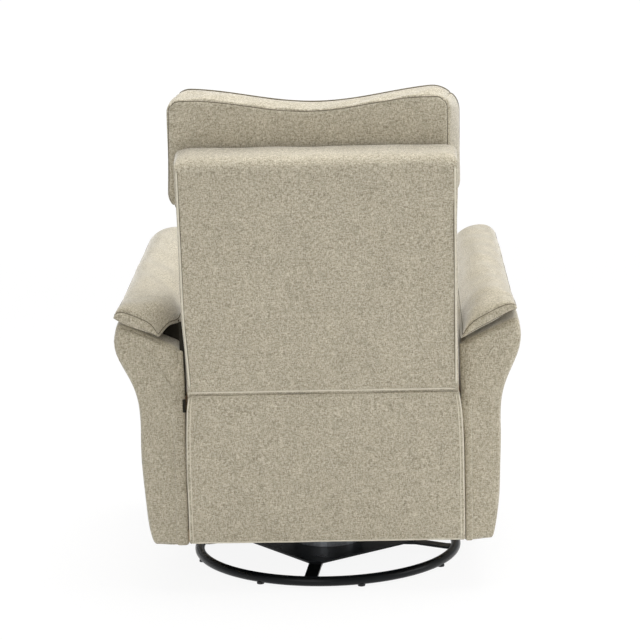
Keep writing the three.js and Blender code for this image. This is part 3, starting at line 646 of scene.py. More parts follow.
@dataclass(frozen=True)
class SawnPoplar:
    """Planed poplar and plywood: pale, matt, with a long fine grain.

    Args:
        name: the material's name.
        early, late: the colours of its early and late wood.
        ring_width: the width of a growth ring in mm.
        ring_length: how far a ring runs before it wanders, in mm.
    """

    name: str
    early: str
    late: str
    ring_width: float = 5
    ring_length: float = 190

    def material(self) -> bpy.types.Material:
        """Builds it: noise drawn out along X for the rings, and finer noise for the pores."""
        material, tree, place = new_material(self.name)
        wide, long = per_metre(self.ring_width), per_metre(self.ring_length)
        mapped = add_node(tree, "ShaderNodeMapping", {"Vector": place, "Scale": (long, wide, wide)})
        rings = add_node(tree, "ShaderNodeTexNoise", {
            "Vector": mapped.outputs[0], "Scale": 1.0, "Detail": 5.0, "Roughness": 0.65, "Distortion": 0.6})
        share = add_node(tree, "ShaderNodeMapRange", {
            "Value": rings.outputs["Fac"], "From Min": 0.35, "From Max": 0.65})
        colour = add_node(tree, "ShaderNodeMix", {
            "Factor": share.outputs[0], 6: linear(self.early), 7: linear(self.late)}, data_type="RGBA")
        bump = add_node(tree, "ShaderNodeBump", {
            "Height": rings.outputs["Fac"], "Strength": 0.3, "Distance": 0.0004})
        shader = add_node(tree, "ShaderNodeBsdfPrincipled", {
            "Base Color": colour.outputs[2], "Roughness": 0.62, "Normal": bump.outputs[0]})
        add_node(tree, "ShaderNodeOutputMaterial", {"Surface": shader.outputs[0]})
        return material


class Finish(Enum):
    """The record's material slots, each with its finish."""

    FABRIC = "fabric"
    BLACK_STEEL = "black_steel"
    ZINC_STEEL = "zinc_steel"
    SPRING_STEEL = "spring_steel"
    WOOD = "wood"
    PLASTIC = "plastic"


class Trim(Enum):
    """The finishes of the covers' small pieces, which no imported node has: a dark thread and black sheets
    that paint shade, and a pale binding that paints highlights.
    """

    THREAD = "thread"
    BINDING = "binding"
    LINING = "lining"


RECIPES = {
    # Beige chenille: a dull, heathered face that turns pale where light falls along the pile
    Finish.FABRIC: ChenilleCloth("beige_woven_chenille", "#B9B09B", "#D8D1BF", "#8C8470"),
    # Satin powder coat: near black, soft grey highlights, a faint orange peel
    Finish.BLACK_STEEL: Coating(
        "black_satin_powder_coated_steel", "#090C0F", "#0F1316", 0.0, 0.3, 70, 1.6, 0.25, specular=0.2),
    # Bright zinc plate: pale, bluish, cloudy
    Finish.ZINC_STEEL: Coating("bright_zinc_plated_steel", "#C3C7CC", "#A4A9B0", 1.0, 0.34, 14, 1.0, 0.2),
    # Oil-tempered spring wire: dark grey with a dull shine
    Finish.SPRING_STEEL: Coating("oil_tempered_spring_wire", "#6E7072", "#4E5052", 1.0, 0.42, 9, 0.8, 0.2),
    # Planed poplar: pale yellow wood with a long grain
    Finish.WOOD: SawnPoplar("planed_poplar", "#D3B78C", "#B8966A"),
    # Moulded polypropylene: black, fine-grained, half matt
    Finish.PLASTIC: Coating("moulded_black_polypropylene", "#17181A", "#1D1E20", 0.0, 0.5, 60, 0.9, 0.35),
    # Polyester thread, sunk in the seam: its dark taupe is painted shade, the seam's crevice drawn dark
    Trim.THREAD: Coating("sewing_thread_painted_seam_shade", "#6B6454", "#7A7262", 0.0, 0.8, 20, 1.2, 0.2, specular=0.2),
    # Cloth cut on the bias and stretched over a cord, paler than the cloth: a painted highlight on its ridge
    Trim.BINDING: Coating("bias_binding_painted_highlight", "#D6CFBC", "#E2DCCB", 0.0, 0.9, 9, 1.0, 0.4, specular=0.2),
    # Thin black matt sheets in the gaps between parts: painted shade where the gaps fall dark
    Trim.LINING: Coating("black_painted_gap_shade", "#2B2822", "#35322B", 0.0, 0.95, 9, 0.8, 0.3, specular=0.1),
}


class Stitching(Enum):
    """How a cover's seam is sewn: with piping, with a dark cord, with its thread in sight, or turned in with
    nothing in it. The dark cord and the thread are painted shade: the crevice of the seam drawn as a dark line.
    """

    PIPED = "piped"
    CORDED = "corded"
    PLAIN = "plain"
    TURNED = "turned"


@dataclass(frozen=True)
class Seam:
    """A seam round one face of a padded block.

    Args:
        axis, side: the face that it goes round.
        stitching: how its two edges are joined.
        radius: the radius of its piping.
        depth, width: how deep and wide the cloth dips to it.
    """

    axis: int
    side: int
    stitching: Stitching = Stitching.PIPED
    radius: float = 2.4
    depth: float = 2.6
    width: float = 3.4


# The numbers of a cover's finishes: its cloth, its seams' dark thread (painted shade), its hems' pale
# binding (painted highlight) and its gaps' black sheets (painted shade)
CLOTH, THREAD, BINDING, LINING = range(4)


@dataclass
class Workshop:
    """The finishes, made once, and the steps that every soft piece shares."""

    finishes: dict[Finish | Trim, bpy.types.Material] = field(default_factory=dict)

    def finish(self, finish: Finish | Trim) -> bpy.types.Material:
        """Returns a finish's material."""
        if finish not in self.finishes:
            self.finishes[finish] = RECIPES[finish].material()
        return self.finishes[finish]

    def padded_block(
        self, block: Block, warp: Warp, seams: Sequence[Seam], unevenness: float = 1.0, wave: float = 90,
        seed: int = 1, free: Callable[[Array], Array] | None = None, limit: float = 0,
    ) -> list[Surface]:
        """Makes a padded form: a rounded block, dipped at its seams, made uneven, warped, and filled.

        Args:
            block: the form before it is warped.
            warp: takes the block's points to the chair.
            seams: its seams.
            unevenness, wave, seed: height, length and seed of its ripples.
            free: how free each point of the block is when the cover is filled, or None for no filling.
            limit: the furthest that filling may move a point.

        Returns:
            The cover and its piping or thread; the thread cords are dark to paint the shade in the seams.
        """
        base = block.surface()
        plain = base.points
        outward = block.outward_of(plain)
        rise = ripple(plain, unevenness, wave, seed)
        near = np.ones(len(plain))
        for seam in seams:
            away = block.from_seam(plain, seam.axis, seam.side)
            dip = np.exp(-(away / seam.width) ** 2)
            rise = rise * (1 - dip) - seam.depth * dip
            near = near * (1 - dip)
        cover = Surface(warp(plain + outward * rise[:, None]), base.faces).outward()
        if free is not None:
            cover = inflated(cover, np.clip(free(plain / np.array(block.half)) * near, 0, 1), limit)
        made = [cover]
        for seam in seams:
            if seam.stitching is Stitching.TURNED:
                continue
            line = block.seam(seam.axis, seam.side)
            sunk = 0.75 if seam.stitching is Stitching.PLAIN else 0.2
            line = line - block.outward_of(line) * seam.depth * sunk
            # Piping takes the cloth; other cords take the dark thread, which paints the seam's shade.
            finish = CLOTH if seam.stitching is Stitching.PIPED else THREAD
            made.append(cord_along(warp(line), seam.radius, finish))
        return made

    def covered(self, name: str, parts: Sequence[Surface], body: str, node: str) -> None:
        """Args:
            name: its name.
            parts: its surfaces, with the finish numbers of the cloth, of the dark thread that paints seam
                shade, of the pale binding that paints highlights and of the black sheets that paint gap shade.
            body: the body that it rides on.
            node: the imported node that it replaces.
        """
        # A cover with black sheets of painted gap shade takes one more finish for them.
        has_painted_gap_shade = any(part.finish == LINING for part in parts)
        finishes = [Finish.FABRIC, Trim.THREAD, Trim.BINDING] + [Trim.LINING] * has_painted_gap_shade
        piece = make_piece(name, parts, [self.finish(finish) for finish in finishes])
        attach(piece, body)
        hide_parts(node)


# Where things are on the chair

@dataclass(frozen=True)
class Frame:
    """Sizes that several sub-assemblies share.

    Args:
        hinge_y, hinge_z: the recline axis.
        lean: the backrest's slope in degrees.
        seat_half: half the width between the arms' inner faces.
    """

    hinge_y: float = 324
    hinge_z: float = 452
    lean: float = 10.9
    seat_half: float = 288

    def leant(self, points: Array) -> Array:
        """Takes points from the backrest's own axes to the chair's: turned about X by the lean, then moved to
        the hinge.
        """
        lean = math.radians(self.lean)
        x, y, z = points.T
        return np.stack([
            x, self.hinge_y + y * math.cos(lean) + z * math.sin(lean),
            self.hinge_z - y * math.sin(lean) + z * math.cos(lean)], axis=1)


CHAIR = Frame()


@dataclass
class FloorBase:
    """The floor ring and its feet.

    Args:
        radius, tube: the ring's middle radius and its tube's.
        height: the height of the tube's middle.
        foot, feet, first: a foot's radius, how many there are, and the angle of the first in degrees.
        ring_steps, tube_steps: the number of points along the ring and round its tube.
    """

    radius: float = 281
    tube: float = 10.5
    height: float = 14
    foot: float = 8
    feet: int = 8
    first: float = 15.3
    ring_steps: int = 144
    tube_steps: int = 20

    def ring(self) -> Surface:
        """Builds the tube: a circle round a larger circle."""
        along = np.arange(self.ring_steps) * TURN / self.ring_steps
        around = np.arange(self.tube_steps) * TURN / self.tube_steps
        turn, round_tube = np.meshgrid(along, around, indexing="ij")
        reach = self.radius + self.tube * np.cos(round_tube)
        level = self.height + self.tube * np.sin(round_tube)
        points = np.stack([reach * np.cos(turn), reach * np.sin(turn), level], axis=-1)
        faces = grid_faces(self.ring_steps, self.tube_steps, wrap_rows=True, wrap_columns=True)
        return Surface(points.reshape(-1, 3), faces).outward()

    def foot_at(self, angle: float) -> Surface:
        """Builds one foot: a turned button under the tube, narrower at the floor.

        Args:
            angle: where it is on the ring, in radians.

        Returns:
            The closed surface, in its place.
        """
        wide, low = self.foot, self.height - self.tube
        profile = np.array([
            (wide - 1.2, 0), (wide - 0.4, 0.35), (wide, 1.2), (wide, low), (wide - 0.8, low + 1.6)])
        button = turned(profile, self.tube_steps, finish=1)
        return button.moved(lambda p: p + [self.radius * math.cos(angle), self.radius * math.sin(angle), 0])

    def build(self, shop: Workshop) -> None:
        """Makes the ring with its feet."""
        angles = np.radians(self.first) + np.arange(self.feet) * TURN / self.feet
        piece = make_piece(
            "floor_ring", [self.ring()] + [self.foot_at(a) for a in angles],
            [shop.finish(Finish.BLACK_STEEL), shop.finish(Finish.PLASTIC)])
        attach(piece, "base")
        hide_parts("base_ring")


class Mechanism:
    """The steel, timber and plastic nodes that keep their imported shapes."""

    def build(self, shop: Workshop) -> None:
        """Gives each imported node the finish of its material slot."""
        for name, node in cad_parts.items():
            for slot in node.material_slots:
                kind = slot.material.name.split(".")[0]
                if kind in {finish.value for finish in Finish}:
                    slot.material = shop.finish(Finish(kind))
                    log.info("%s: %s", name, kind)


@dataclass
class BackPanel:
    """The upholstered shell of the backrest: a tray that is open to the front, rolled along its top, with a
    seam down each side of its rear face and piping along its lower edge.

    Args:
        rear, front: where its rear and front faces are, across the backrest.
        top: the height of its top.
        knuckle: the radius of its lower edge, about the hinge.
        roll: the radius of its rolled top edge.
        rear_half, front_half: half its width at the rear and at the front.
        edge: the radius of its other edges.
        wall: the thickness of its rear wall.
        seam_in: how far the seams are from its sides.
        piping_turn: the angle below the hinge of the piping, in degrees.
        draw_in: how far its left side draws in towards its lower edge.
        draw_heights: from where up the backrest that is undone, and where it is gone.
        swell: how far its rear face swells.
        ear_drop, ear_width, ear_height: how far its upper corners sink, and how far in and down that reaches.
    """

    rear: float = 26
    front: float = -62
    top: float = 492
    knuckle: float = 26
    roll: float = 27
    rear_half: float = 280
    front_half: float = 282
    edge: float = 9
    wall: float = 10
    seam_in: float = 7
    piping_turn: float = 14
    draw_in: float = 7
    draw_heights: tuple[float, float] = (-10, 190)
    swell: float = 3
    ear_drop: float = 7
    ear_width: float = 34
    ear_height: float = 60

    def shaped(self, points: Array) -> Array:
        """Narrows the tray towards the rear, keeps its rear corners within the circles of the knuckle and of
        the roll, sinks its upper corners, then leans it.

        Args:
            points: places on the upright tray.

        Returns:
            The same places on the chair.
        """
        x, y, z = points.T
        share = (self.rear - y) / (self.rear - self.front)
        x = x * (self.rear_half + (self.front_half - self.rear_half) * share) / self.front_half
        x = x - self.draw_in * (1 - eased(z, *self.draw_heights)) * np.clip(x / self.front_half, 0, 1)
        for radius, level, way in ((self.knuckle, 0.0, -1), (self.roll, self.top - self.roll, 1)):
            centre = self.rear - radius
            up, out = way * (z - level), y - centre
            keep = in_circle(out, up, radius + np.maximum(out - radius, 0))
            y, z = centre + out * keep, level + way * up * keep
        corner = eased(np.abs(x), self.rear_half - self.ear_width, self.rear_half + 6) ** 2
        corner = corner * eased(z, self.top - self.ear_height, self.top)
        return CHAIR.leant(np.stack([x, y, z - self.ear_drop * corner], axis=1))

    def build(self, shop: Workshop) -> None:
        """Makes the tray with its seams and piping."""
        half = [self.front_half, (self.rear - self.front) / 2, (self.top + self.knuckle) / 2]
        middle = np.array([0, (self.rear + self.front) / 2, (self.top - self.knuckle) / 2])
        floor = self.rear - self.wall

        def placed(points: Array) -> Array:
            """Sinks the front face to the tray's floor within its rim, and swells the rear face a little."""
            a, _, c = (points / half).T
            x, y, z = (points + middle).T
            inset = np.minimum(half[0] - np.abs(points[:, 0]), half[2] - np.abs(points[:, 2]))
            sunk = (y < self.front + 2.5) & (inset > self.edge + 2)
            swell = self.swell * (1 - a ** 4) * (1 - c ** 6) * (y > self.rear - 1)
            return self.shaped(np.stack([x, np.where(sunk, floor, y + swell), z], axis=1))

        parts = shop.padded_block(Block(half, self.edge, 13, 4), placed, [], 0.6, 160, seed=11)
        # Down each side: a thin dark thread cord that paints the seam's shade line, and beside it a pale
        # binding cord that paints the ridge's highlight.
        for side, thread in ((-1, 0.85), (1, 0.6)):
            x = side * (self.front_half - self.seam_in)
            for offset, radius, finish in ((0, thread, THREAD), (2.6, 2.0, BINDING)):
                ends = np.array([(x + side * offset, self.rear + 0.1, z) for z in (4, self.top - 16)])
                parts.append(cord_along(self.shaped(resampled(ends, 8)), radius, finish, closed=False))
        # The piping along the lower edge is pale binding: a painted highlight along the edge.
        turn, reach = math.radians(self.piping_turn), self.knuckle + 1.5
        depth, height = reach * math.cos(turn), -reach * math.sin(turn)
        ends = (5 - self.rear_half, self.rear_half - self.draw_in - 3)
        piping = np.array([(x, depth, height) for x in ends])
        parts.append(cord_along(CHAIR.leant(resampled(piping, 9)), 1.7, BINDING, closed=False))
        shop.covered("back_cover", parts, "back", "back_shell")


@dataclass
class RearSkirt:
    """The cloth-covered panel that hangs below the backrest.

    Args:
        half, skew: half its width, and how far its middle is to the side.
        bottom, top: its lower and upper edges.
        bottom_y, top_y: where its rear face is at each.
        thickness: its thickness.
        stitch_in: how far the stitched line is from each side.
        wall_front: where the bands that close the gap to the arms begin.
        wall_bottom, wall_top: the lower and upper ends of the bands.
        wall_thickness, wall_in: how thick the bands are, and how far in from the sides.
        swell: how far its face swells.
        heights, widths: its outline, as heights and shares of its width.
    """

    half: float = 286
    skew: float = -5
    bottom: float = 112
    top: float = 434
    bottom_y: float = 325
    top_y: float = 346
    thickness: float = 12
    stitch_in: float = 8
    wall_front: float = 309
    wall_bottom: float = 143
    wall_top: float = 428
    wall_thickness: float = 3
    wall_in: float = 2.5
    swell: float = 2.5
    heights: Sequence[float] = (112, 140, 283, 350, 405, 434)
    widths: Sequence[float] = (1, 1, 1, 0.996, 0.985, 0.968)

    def placed(self, points: Array) -> Array:
        """Slopes the panel, narrows it towards its top and lets its face swell with the fourth powers of the
        distances from its middle.

        Args:
            points: places on the upright block.

        Returns:
            The same places on the chair.
        """
        x, y, z = points.T
        height = (self.top + self.bottom) / 2 + z
        share = (height - self.bottom) / (self.top - self.bottom)
        wide = traced(height, self.heights, self.widths, 14)
        swell = self.swell * (1 - (x / self.half) ** 4) * np.clip(1 - (2 * share - 1) ** 4, 0, 1) * (y > 0)
        rear = self.bottom_y + (self.top_y - self.bottom_y) * share
        return np.stack([x * wide + self.skew, rear - self.thickness / 2 + y + swell, height], axis=1)

    def side_wall(self, side: int) -> Surface:
        """Makes the band of cloth from the middle of the panel forward to an arm: its width is the distance
        between the two at each height, so it grows with the panel's slope.

        Args:
            side: 1 for the sitter's left, -1 for the right.

        Returns:
            The closed surface, in its place.
        """
        lift = (self.wall_top + self.wall_bottom - self.top - self.bottom) / 2

        def warp(points: Array) -> Array:
            """Takes the block to the band."""
            x, y, z = points.T
            band = self.placed(np.stack([side * (self.half - self.wall_in) + x, 0 * y, z + lift], axis=1))
            band[:, 1] = self.wall_front + (band[:, 1] - self.wall_front) * (y + 1) / 2
            return band

        half = [self.wall_thickness / 2, 1, (self.wall_top - self.wall_bottom) / 2]
        return Block(half, 0.7, 12, 2).surface().moved(warp)

    def build(self, shop: Workshop) -> None:
        """Makes the panel with its stitched side lines and hem; the side lines and the hem's lower cord are
        pale binding that paints their highlights.
        """
        block = Block([self.half, self.thickness / 2, (self.top - self.bottom) / 2], 4, 12, 4)
        parts = shop.padded_block(block, self.placed, [], 0.5, 130, seed=5)
        high, face = block.half[2], self.thickness / 2 + 0.1
        for side in (-1, 1):
            parts.append(self.side_wall(side))
            # Both side lines are pale binding cords: painted highlights on their ridges.
            for inset, sunk, radius in ((2.2, 1.6, 1.6), (self.stitch_in, 0, 1.0)):
                x = side * (self.half - inset)
                line = np.array([(x, face - sunk, 4 - high), (x, face - sunk, high - 4)])
                parts.append(cord_along(self.placed(resampled(line, 9)), radius, BINDING, closed=False))
        # The lower hem cord is pale binding, a painted highlight; the upper one is plain cloth.
        for height, radius, finish in ((2.6 - high, 1.7, BINDING), (high - 2.6, 1.6, CLOTH)):
            line = np.array([(x, face - 0.4, height) for x in (4 - self.half, self.half - 4)])
            parts.append(cord_along(self.placed(resampled(line, 9)), radius, finish, closed=False))
        shop.covered("rear_skirt_cover", parts, "carriage", "rear_skirt")


@dataclass
class HeadCushion:
    """The crescent-shaped head cushion: a rear panel, a boxing strip and a full front, its ends raised and
    brought forward as wings.

    Args:
        bottom, top: its lower edge and its highest place, up the backrest.
        rear: where its rear face is.
        front: where its front seam is.
        full: how far its front stands out of that seam.
        wing: how far its ends come forward.
        dip: how much lower its top is in the middle.
        rise: how much higher its front seam is than its rear one.
        rear_corner, left_corner, right_corner: the radii of its upper corners, at its rear and at either end
            of its front seam.
        rear_half, rear_skew: half its rear panel's width, and how far to the side its middle is.
        front_half, front_skew: the same at its front seam.
        lower_corner: the radius of its lower corners.
        flare: how much further its left side reaches at its lower edge.
        end_full: how much fuller its ends are than its middle.
        wave_share: the share of its half width that the dip takes up.
        block_depth, edge: the thickness and the edge radius of the block that it is shaped from.
    """

    bottom: float = 351
    top: float = 594
    rear: float = -66.5
    front: float = -102
    full: float = 78
    wing: float = 26
    dip: float = 26
    rise: float = 4
    rear_corner: float = 26
    left_corner: float = 38
    right_corner: float = 66
    rear_half: float = 281
    rear_skew: float = 15
    front_half: float = 291
    front_skew: float = -4
    lower_corner: float = 42
    flare: float = 9
    end_full: float = 36
    wave_share: float = 0.86
    block_depth: float = 62
    edge: float = 11

    def block(self) -> Block:
        """Returns the block that the cushion is shaped from."""
        return Block([self.front_half, self.block_depth / 2, (self.top - self.bottom) / 2], self.edge, 7)

    def placed(self, points: Array) -> Array:
        """Takes the block to the crescent: the top follows a wave that is low in the middle, the front swells
        and its ends come forward with the fourth power of their distance, and each corner keeps to a circle.

        Args:
            points: places on the block.

        Returns:
            The same places on the chair.
        """
        a, b, c = (points / self.block().half).T
        forward = np.clip((1 - b) / 2, 0, 1)
        wide = self.rear_half + (self.front_half - self.rear_half) * forward
        skew = self.rear_skew + (self.front_skew - self.rear_skew) * forward
        wave = self.dip / 2 * (1 + np.cos(np.pi * np.clip(np.abs(a) / self.wave_share, 0, 1)))
        top = self.top - wave - self.rise * (1 - forward)
        z = self.bottom + (top - self.bottom) * (c + 1) / 2
        x = a * wide
        front_corner = np.where(a > 0, self.left_corner, self.right_corner)
        upper = self.rear_corner + (front_corner - self.rear_corner) * forward
        for edge, radius, way in ((top, upper, 1), (self.bottom, self.lower_corner, -1)):
            aside, past = np.abs(x) - wide + radius, way * (z - edge) + radius
            keep = square_to_disc(aside, past)
            x = np.sign(a) * (wide - radius + aside * keep)
            z = edge + way * (past * keep - radius)
        swell = np.sqrt(np.clip(1 - a ** 8, 0, 1))
        swell = swell * np.sqrt(np.clip(1 - np.where(c > 0, c ** 3, c ** 8), 0, 1))
        full = (self.full + self.end_full * a ** 4) * swell * np.clip(-b, 0, 1)
        y = self.rear + (self.front - self.rear) * forward - self.wing * a ** 4 * forward - full
        flare = self.flare * np.clip(a, 0, 1) * (self.top - z) / (self.top - self.bottom)
        return CHAIR.leant(np.stack([x + skew + flare, y, z], axis=1))

    def build(self, shop: Workshop) -> None:
        """Makes the cushion with a plain seam at the rear and a corded one at the front, both cords in the dark
        thread that paints the seams' shade.
        """
        seams = [Seam(1, 1, Stitching.PLAIN, 0.9, 1.6, 2.2), Seam(1, -1, Stitching.CORDED, 1.7, 2.2, 2.6)]
        parts = shop.padded_block(self.block(), self.placed, seams, 1.0, 85, seed=3)
        shop.covered("head_cushion_cover", parts, "back", "head_cushion")


@dataclass
class BoxedCushion:
    """What the boxed cushions share: a block with one full face.

    Args:
        half: half its width.
        rear, front: its rear and front faces.
        bottom, top: its lower and upper ones.
        edge: the radius of its edges.
        crown: how far its full face rises in the middle.
    """

    half: float
    rear: float
    front: float
    bottom: float
    top: float
    edge: float
    crown: float

    def block(self) -> Block:
        """Returns the block that the cushion is shaped from."""
        return Block([self.half, (self.rear - self.front) / 2, (self.top - self.bottom) / 2], self.edge)

    def middle(self) -> Array:
        """Returns the block's middle."""
        return np.array([0, (self.rear + self.front) / 2, (self.top + self.bottom) / 2])


@dataclass
class LumbarCushion(BoxedCushion):
    """The lower back cushion, with a piped front panel and a boxing strip. Its heights are up the backrest.

    Args:
        draw_in: how far its sides draw in between the corners.
        sag: how far its lower and upper edges draw in.
    """

    half: float = 278
    rear: float = -66.8
    front: float = -188.8
    bottom: float = -26
    top: float = 349.5
    edge: float = 16
    crown: float = 12
    draw_in: float = 4
    sag: float = 1.5

    def placed(self, points: Array) -> Array:
        """Crowns the front and draws the edges in between the corners, each with fourth powers."""
        a, b, c = (points / self.block().half).T
        x, y, z = (points + self.middle()).T
        x = x - self.draw_in * a * (1 - c ** 4)
        y = y - self.crown * (1 - a ** 4) * (1 - c ** 4) * np.clip(-b, 0, 1)
        z = z - self.sag * c * (1 - a ** 4)
        return CHAIR.leant(np.stack([x, y, z], axis=1))

    def build(self, shop: Workshop) -> None:
        """Makes the cushion and fills its front."""
        parts = shop.padded_block(
            self.block(), self.placed, [Seam(1, -1, Stitching.PIPED, 2.6, 3.2, 3.6)], 1.2, 110, seed=8,
            free=lambda s: np.clip(-s[:, 1], 0, 1) * np.clip(1.12 - np.abs(s[:, 0]) ** 8, 0, 1), limit=16)
        shop.covered("lumbar_cushion_cover", parts, "back", "lumbar_cushion")


@dataclass
class SeatCushion(BoxedCushion):
    """The seat cushion, boxed and piped, with a full top.

    Args:
        draw_in: how far its sides draw in between the corners.
    """

    half: float = 278
    rear: float = 131
    front: float = -441
    bottom: float = 417
    top: float = 477
    edge: float = 15
    crown: float = 14
    draw_in: float = 3.5

    def placed(self, points: Array) -> Array:
        """Crowns the top and draws the sides in between the corners, each with fourth powers."""
        a, b, c = (points / self.block().half).T
        x, y, z = (points + self.middle()).T
        x = x - self.draw_in * a * (1 - b ** 4)
        z = z + self.crown * (1 - a ** 4) * (1 - np.clip(b, -1, 1) ** 4) * np.clip(c, 0, 1)
        return np.stack([x, y, z], axis=1)

    def build(self, shop: Workshop) -> None:
        """Makes the cushion and fills its top."""
        seams = [Seam(2, 1, Stitching.PIPED, 2.6, 3.2, 3.6), Seam(2, -1, Stitching.PIPED, 2.4, 2.6, 3.2)]
        parts = shop.padded_block(
            self.block(), self.placed, seams, 1.2, 120, seed=13,
            free=lambda s: np.clip(s[:, 2], 0, 1), limit=16)
        shop.covered("seat_cushion_cover", parts, "carriage", "seat_cushion")


@dataclass
class FootrestPad(BoxedCushion):
    """The padded face of the footrest board."""

    half: float = 279
    rear: float = -410.8
    front: float = -438
    bottom: float = 129
    top: float = 403
    edge: float = 10
    crown: float = 4

    def placed(self, points: Array) -> Array:
        """Crowns the front, with fourth powers."""
        a, b, c = (points / self.block().half).T
        x, y, z = (points + self.middle()).T
        y = y - self.crown * (1 - a ** 4) * (1 - c ** 4) * np.clip(-b, 0, 1)
        return np.stack([x, y, z], axis=1)

    def build(self, shop: Workshop) -> None:
        """Makes the pad and fills its front."""
        parts = shop.padded_block(
            self.block(), self.placed, [Seam(1, -1, Stitching.PIPED, 2.2, 2.4, 2.6)], 0.9, 100, seed=17,
            free=lambda s: np.clip(-s[:, 1], 0, 1), limit=9)
        shop.covered("footrest_pad_cover", parts, "footrest_board", "footrest_pad")


@dataclass
class Arm:
    """One arm: a cover drawn over the arm board, full at its top and narrow at its foot, with a strip of its
    inner cover pulled round to the rear beside the skirt, and a crease above that.

    Args:
        side: 1 for the sitter's left arm, -1 for the right.
        width: the full width of its section.
        strip_inner, strip_upper: where the inner edge of its strip is beside the skirt, and above it.
        strip_top: the upper end of its strip.
        pocket: how far its inner rear corner sinks under the pad.
        painted_gap_shades: the half sizes and middles of the black sheets that paint the shade in its gaps.
        bottom: its lower edge.
        rear, front: its ends.
        rear_top, front_top: the height of its outer top edge at each end.
        rear_drop, front_drop: how much lower its inner top edge is.
        taper: the share of its width that its top loses towards the front.
        taper_heights: the heights between which the taper begins.
        pocket_run: the places along it between which the pocket begins.
        gap: how far its inner face is off the seat's side.
        blur: how far to each side its outline's corners are rounded.
        heights, widths: its outline from behind, as heights and shares of its width.
        strip_width, strip_depth: the size of the block that the strip is shaped from.
        strip_out: how far the strip stands out below, and how far its middle is inside the arm above.
        strip_reach, strip_growth: how far its outer edge is from the seat's side, and how much further above.
        strip_step, strip_flush, strip_wider: the heights between which its inner edge steps, its rear face
            comes in, and its outer edge moves out.
        crease: the line of the crease from behind, as distances from the chair's middle and heights.
        crease_radius, crease_in: its radius, and how far its middle is inside the rear face.
    """

    side: int
    width: float
    strip_inner: float
    strip_upper: float
    strip_top: float
    pocket: float
    painted_gap_shades: Sequence[tuple[Sequence[float], Sequence[float]]]
    bottom: float = 106
    rear: float = 309
    front: float = -436
    rear_top: float = 578
    front_top: float = 612
    rear_drop: float = 42
    front_drop: float = 17
    taper: float = 0.12
    taper_heights: tuple[float, float] = (470, 590)
    pocket_run: tuple[float, float] = (40, 150)
    gap: float = 0.4
    blur: float = 15
    heights: Sequence[float] = (
        106, 112, 124, 151, 195, 238, 281, 324, 367, 410, 442, 474, 502, 527, 548, 569, 590)
    widths: Sequence[float] = (
        0.49, 0.51, 0.54, 0.575, 0.61, 0.635, 0.648, 0.648, 0.642,
        0.67, 0.735, 0.845, 0.95, 1.0, 1.0, 0.96, 0.93)
    strip_width: float = 18.8
    strip_depth: float = 16
    strip_out: float = 9
    strip_reach: float = 20
    strip_growth: float = 7
    strip_step: tuple[float, float] = (330, 372)
    strip_flush: tuple[float, float] = (360, 436)
    strip_wider: tuple[float, float] = (380, 440)
    crease: Sequence[tuple[float, float]] = ((359, 522), (343, 499), (327, 474), (315, 452), (309, 436))
    crease_radius: float = 3.2
    crease_in: float = 2.6

    def name(self) -> str:
        """Returns left or right."""
        return "left" if self.side > 0 else "right"

    def top_at(self, across: Array, y: Array) -> Array:
        """Works out the height of its top, which slopes along it and across it.

        Args:
            across: shares of its width, from its inner side.
            y: places along it.

        Returns:
            The height at each place.
        """
        share = np.clip((self.rear - y) / (self.rear - self.front), 0, 1)
        outer = self.rear_top + (self.front_top - self.rear_top) * share
        drop = self.rear_drop + (self.front_drop - self.rear_drop) * share
        return outer - drop * (1 - across)

    def placed(self, points: Array) -> Array:
        """Takes the block to the arm: its width follows the arm's outline at each height.

        Args:
            points: places on the block.

        Returns:
            The same places on the chair.
        """
        a, _, c = (points / self.block().half).T
        y = (self.front + self.rear) / 2 + points[:, 1]
        across = (a + 1) / 2
        top = self.top_at(across, y)
        z = self.bottom + (top - self.bottom) * (c + 1) / 2
        near_top = np.clip((c - 0.6) / 0.4, 0, 1)
        z = z - self.pocket * (1 - across) ** 2 * eased(y, *self.pocket_run) * near_top
        wide = traced(z, self.heights, self.widths, self.blur)
        ahead = (self.rear - y) / (self.rear - self.front)
        wide = wide * (1 - self.taper * ahead * eased(z, *self.taper_heights))
        x = CHAIR.seat_half + self.gap + across * wide * self.width
        return np.stack([self.side * x, y, z], axis=1)

    def strip(self, points: Array) -> Array:
        """Places the strip: it stands out of the arm's rear face below, and is flush with it above.

        Args:
            points: places on the strip's block.

        Returns:
            The same places on the chair.
        """
        x, y, z = points.T
        height = (self.strip_top + self.bottom) / 2 + 1 + z
        out = self.strip_out * (1 - eased(height, *self.strip_flush))
        step = (self.strip_inner - self.strip_upper) * (1 - eased(height, *self.strip_step))
        inner = self.strip_upper + step
        outer = CHAIR.seat_half + self.strip_reach + self.strip_growth * eased(height, *self.strip_wider)
        across = inner + (outer - inner) * (x / (self.strip_width / 2) + 1) / 2
        return np.stack([self.side * across, self.rear - self.strip_out + y + out * (y > 0), height], axis=1)

    def block(self) -> Block:
        """Returns the block that the arm is shaped from."""
        half = [self.width / 2, (self.rear - self.front) / 2, (self.rear_top - self.bottom) / 2]
        return Block(half, 13, 13)

    def build(self, shop: Workshop) -> None:
        """Makes the arm with its strip, its crease and the black sheets that paint the shade in its gaps."""
        seams = [Seam(1, 1, Stitching.TURNED, 0, 0.9, 1.6), Seam(1, -1, Stitching.PIPED, 2.2, 2.0, 2.2)]
        parts = shop.padded_block(self.block(), self.placed, seams, 1.2, 150, seed=21 + self.side)
        half = [self.strip_width / 2, self.strip_depth / 2, (self.strip_top - self.bottom) / 2]
        parts += shop.padded_block(Block(half, 5, 12, 4), self.strip, [], 0.3, 120, seed=25 + self.side)
        line = resampled(np.array(self.crease), 7)
        depth = np.full(len(line), self.rear - self.crease_in)
        path = np.stack([self.side * line[:, 0], depth, line[:, 1]], axis=1)
        parts.append(cord_along(path, self.crease_radius, CLOTH, closed=False))
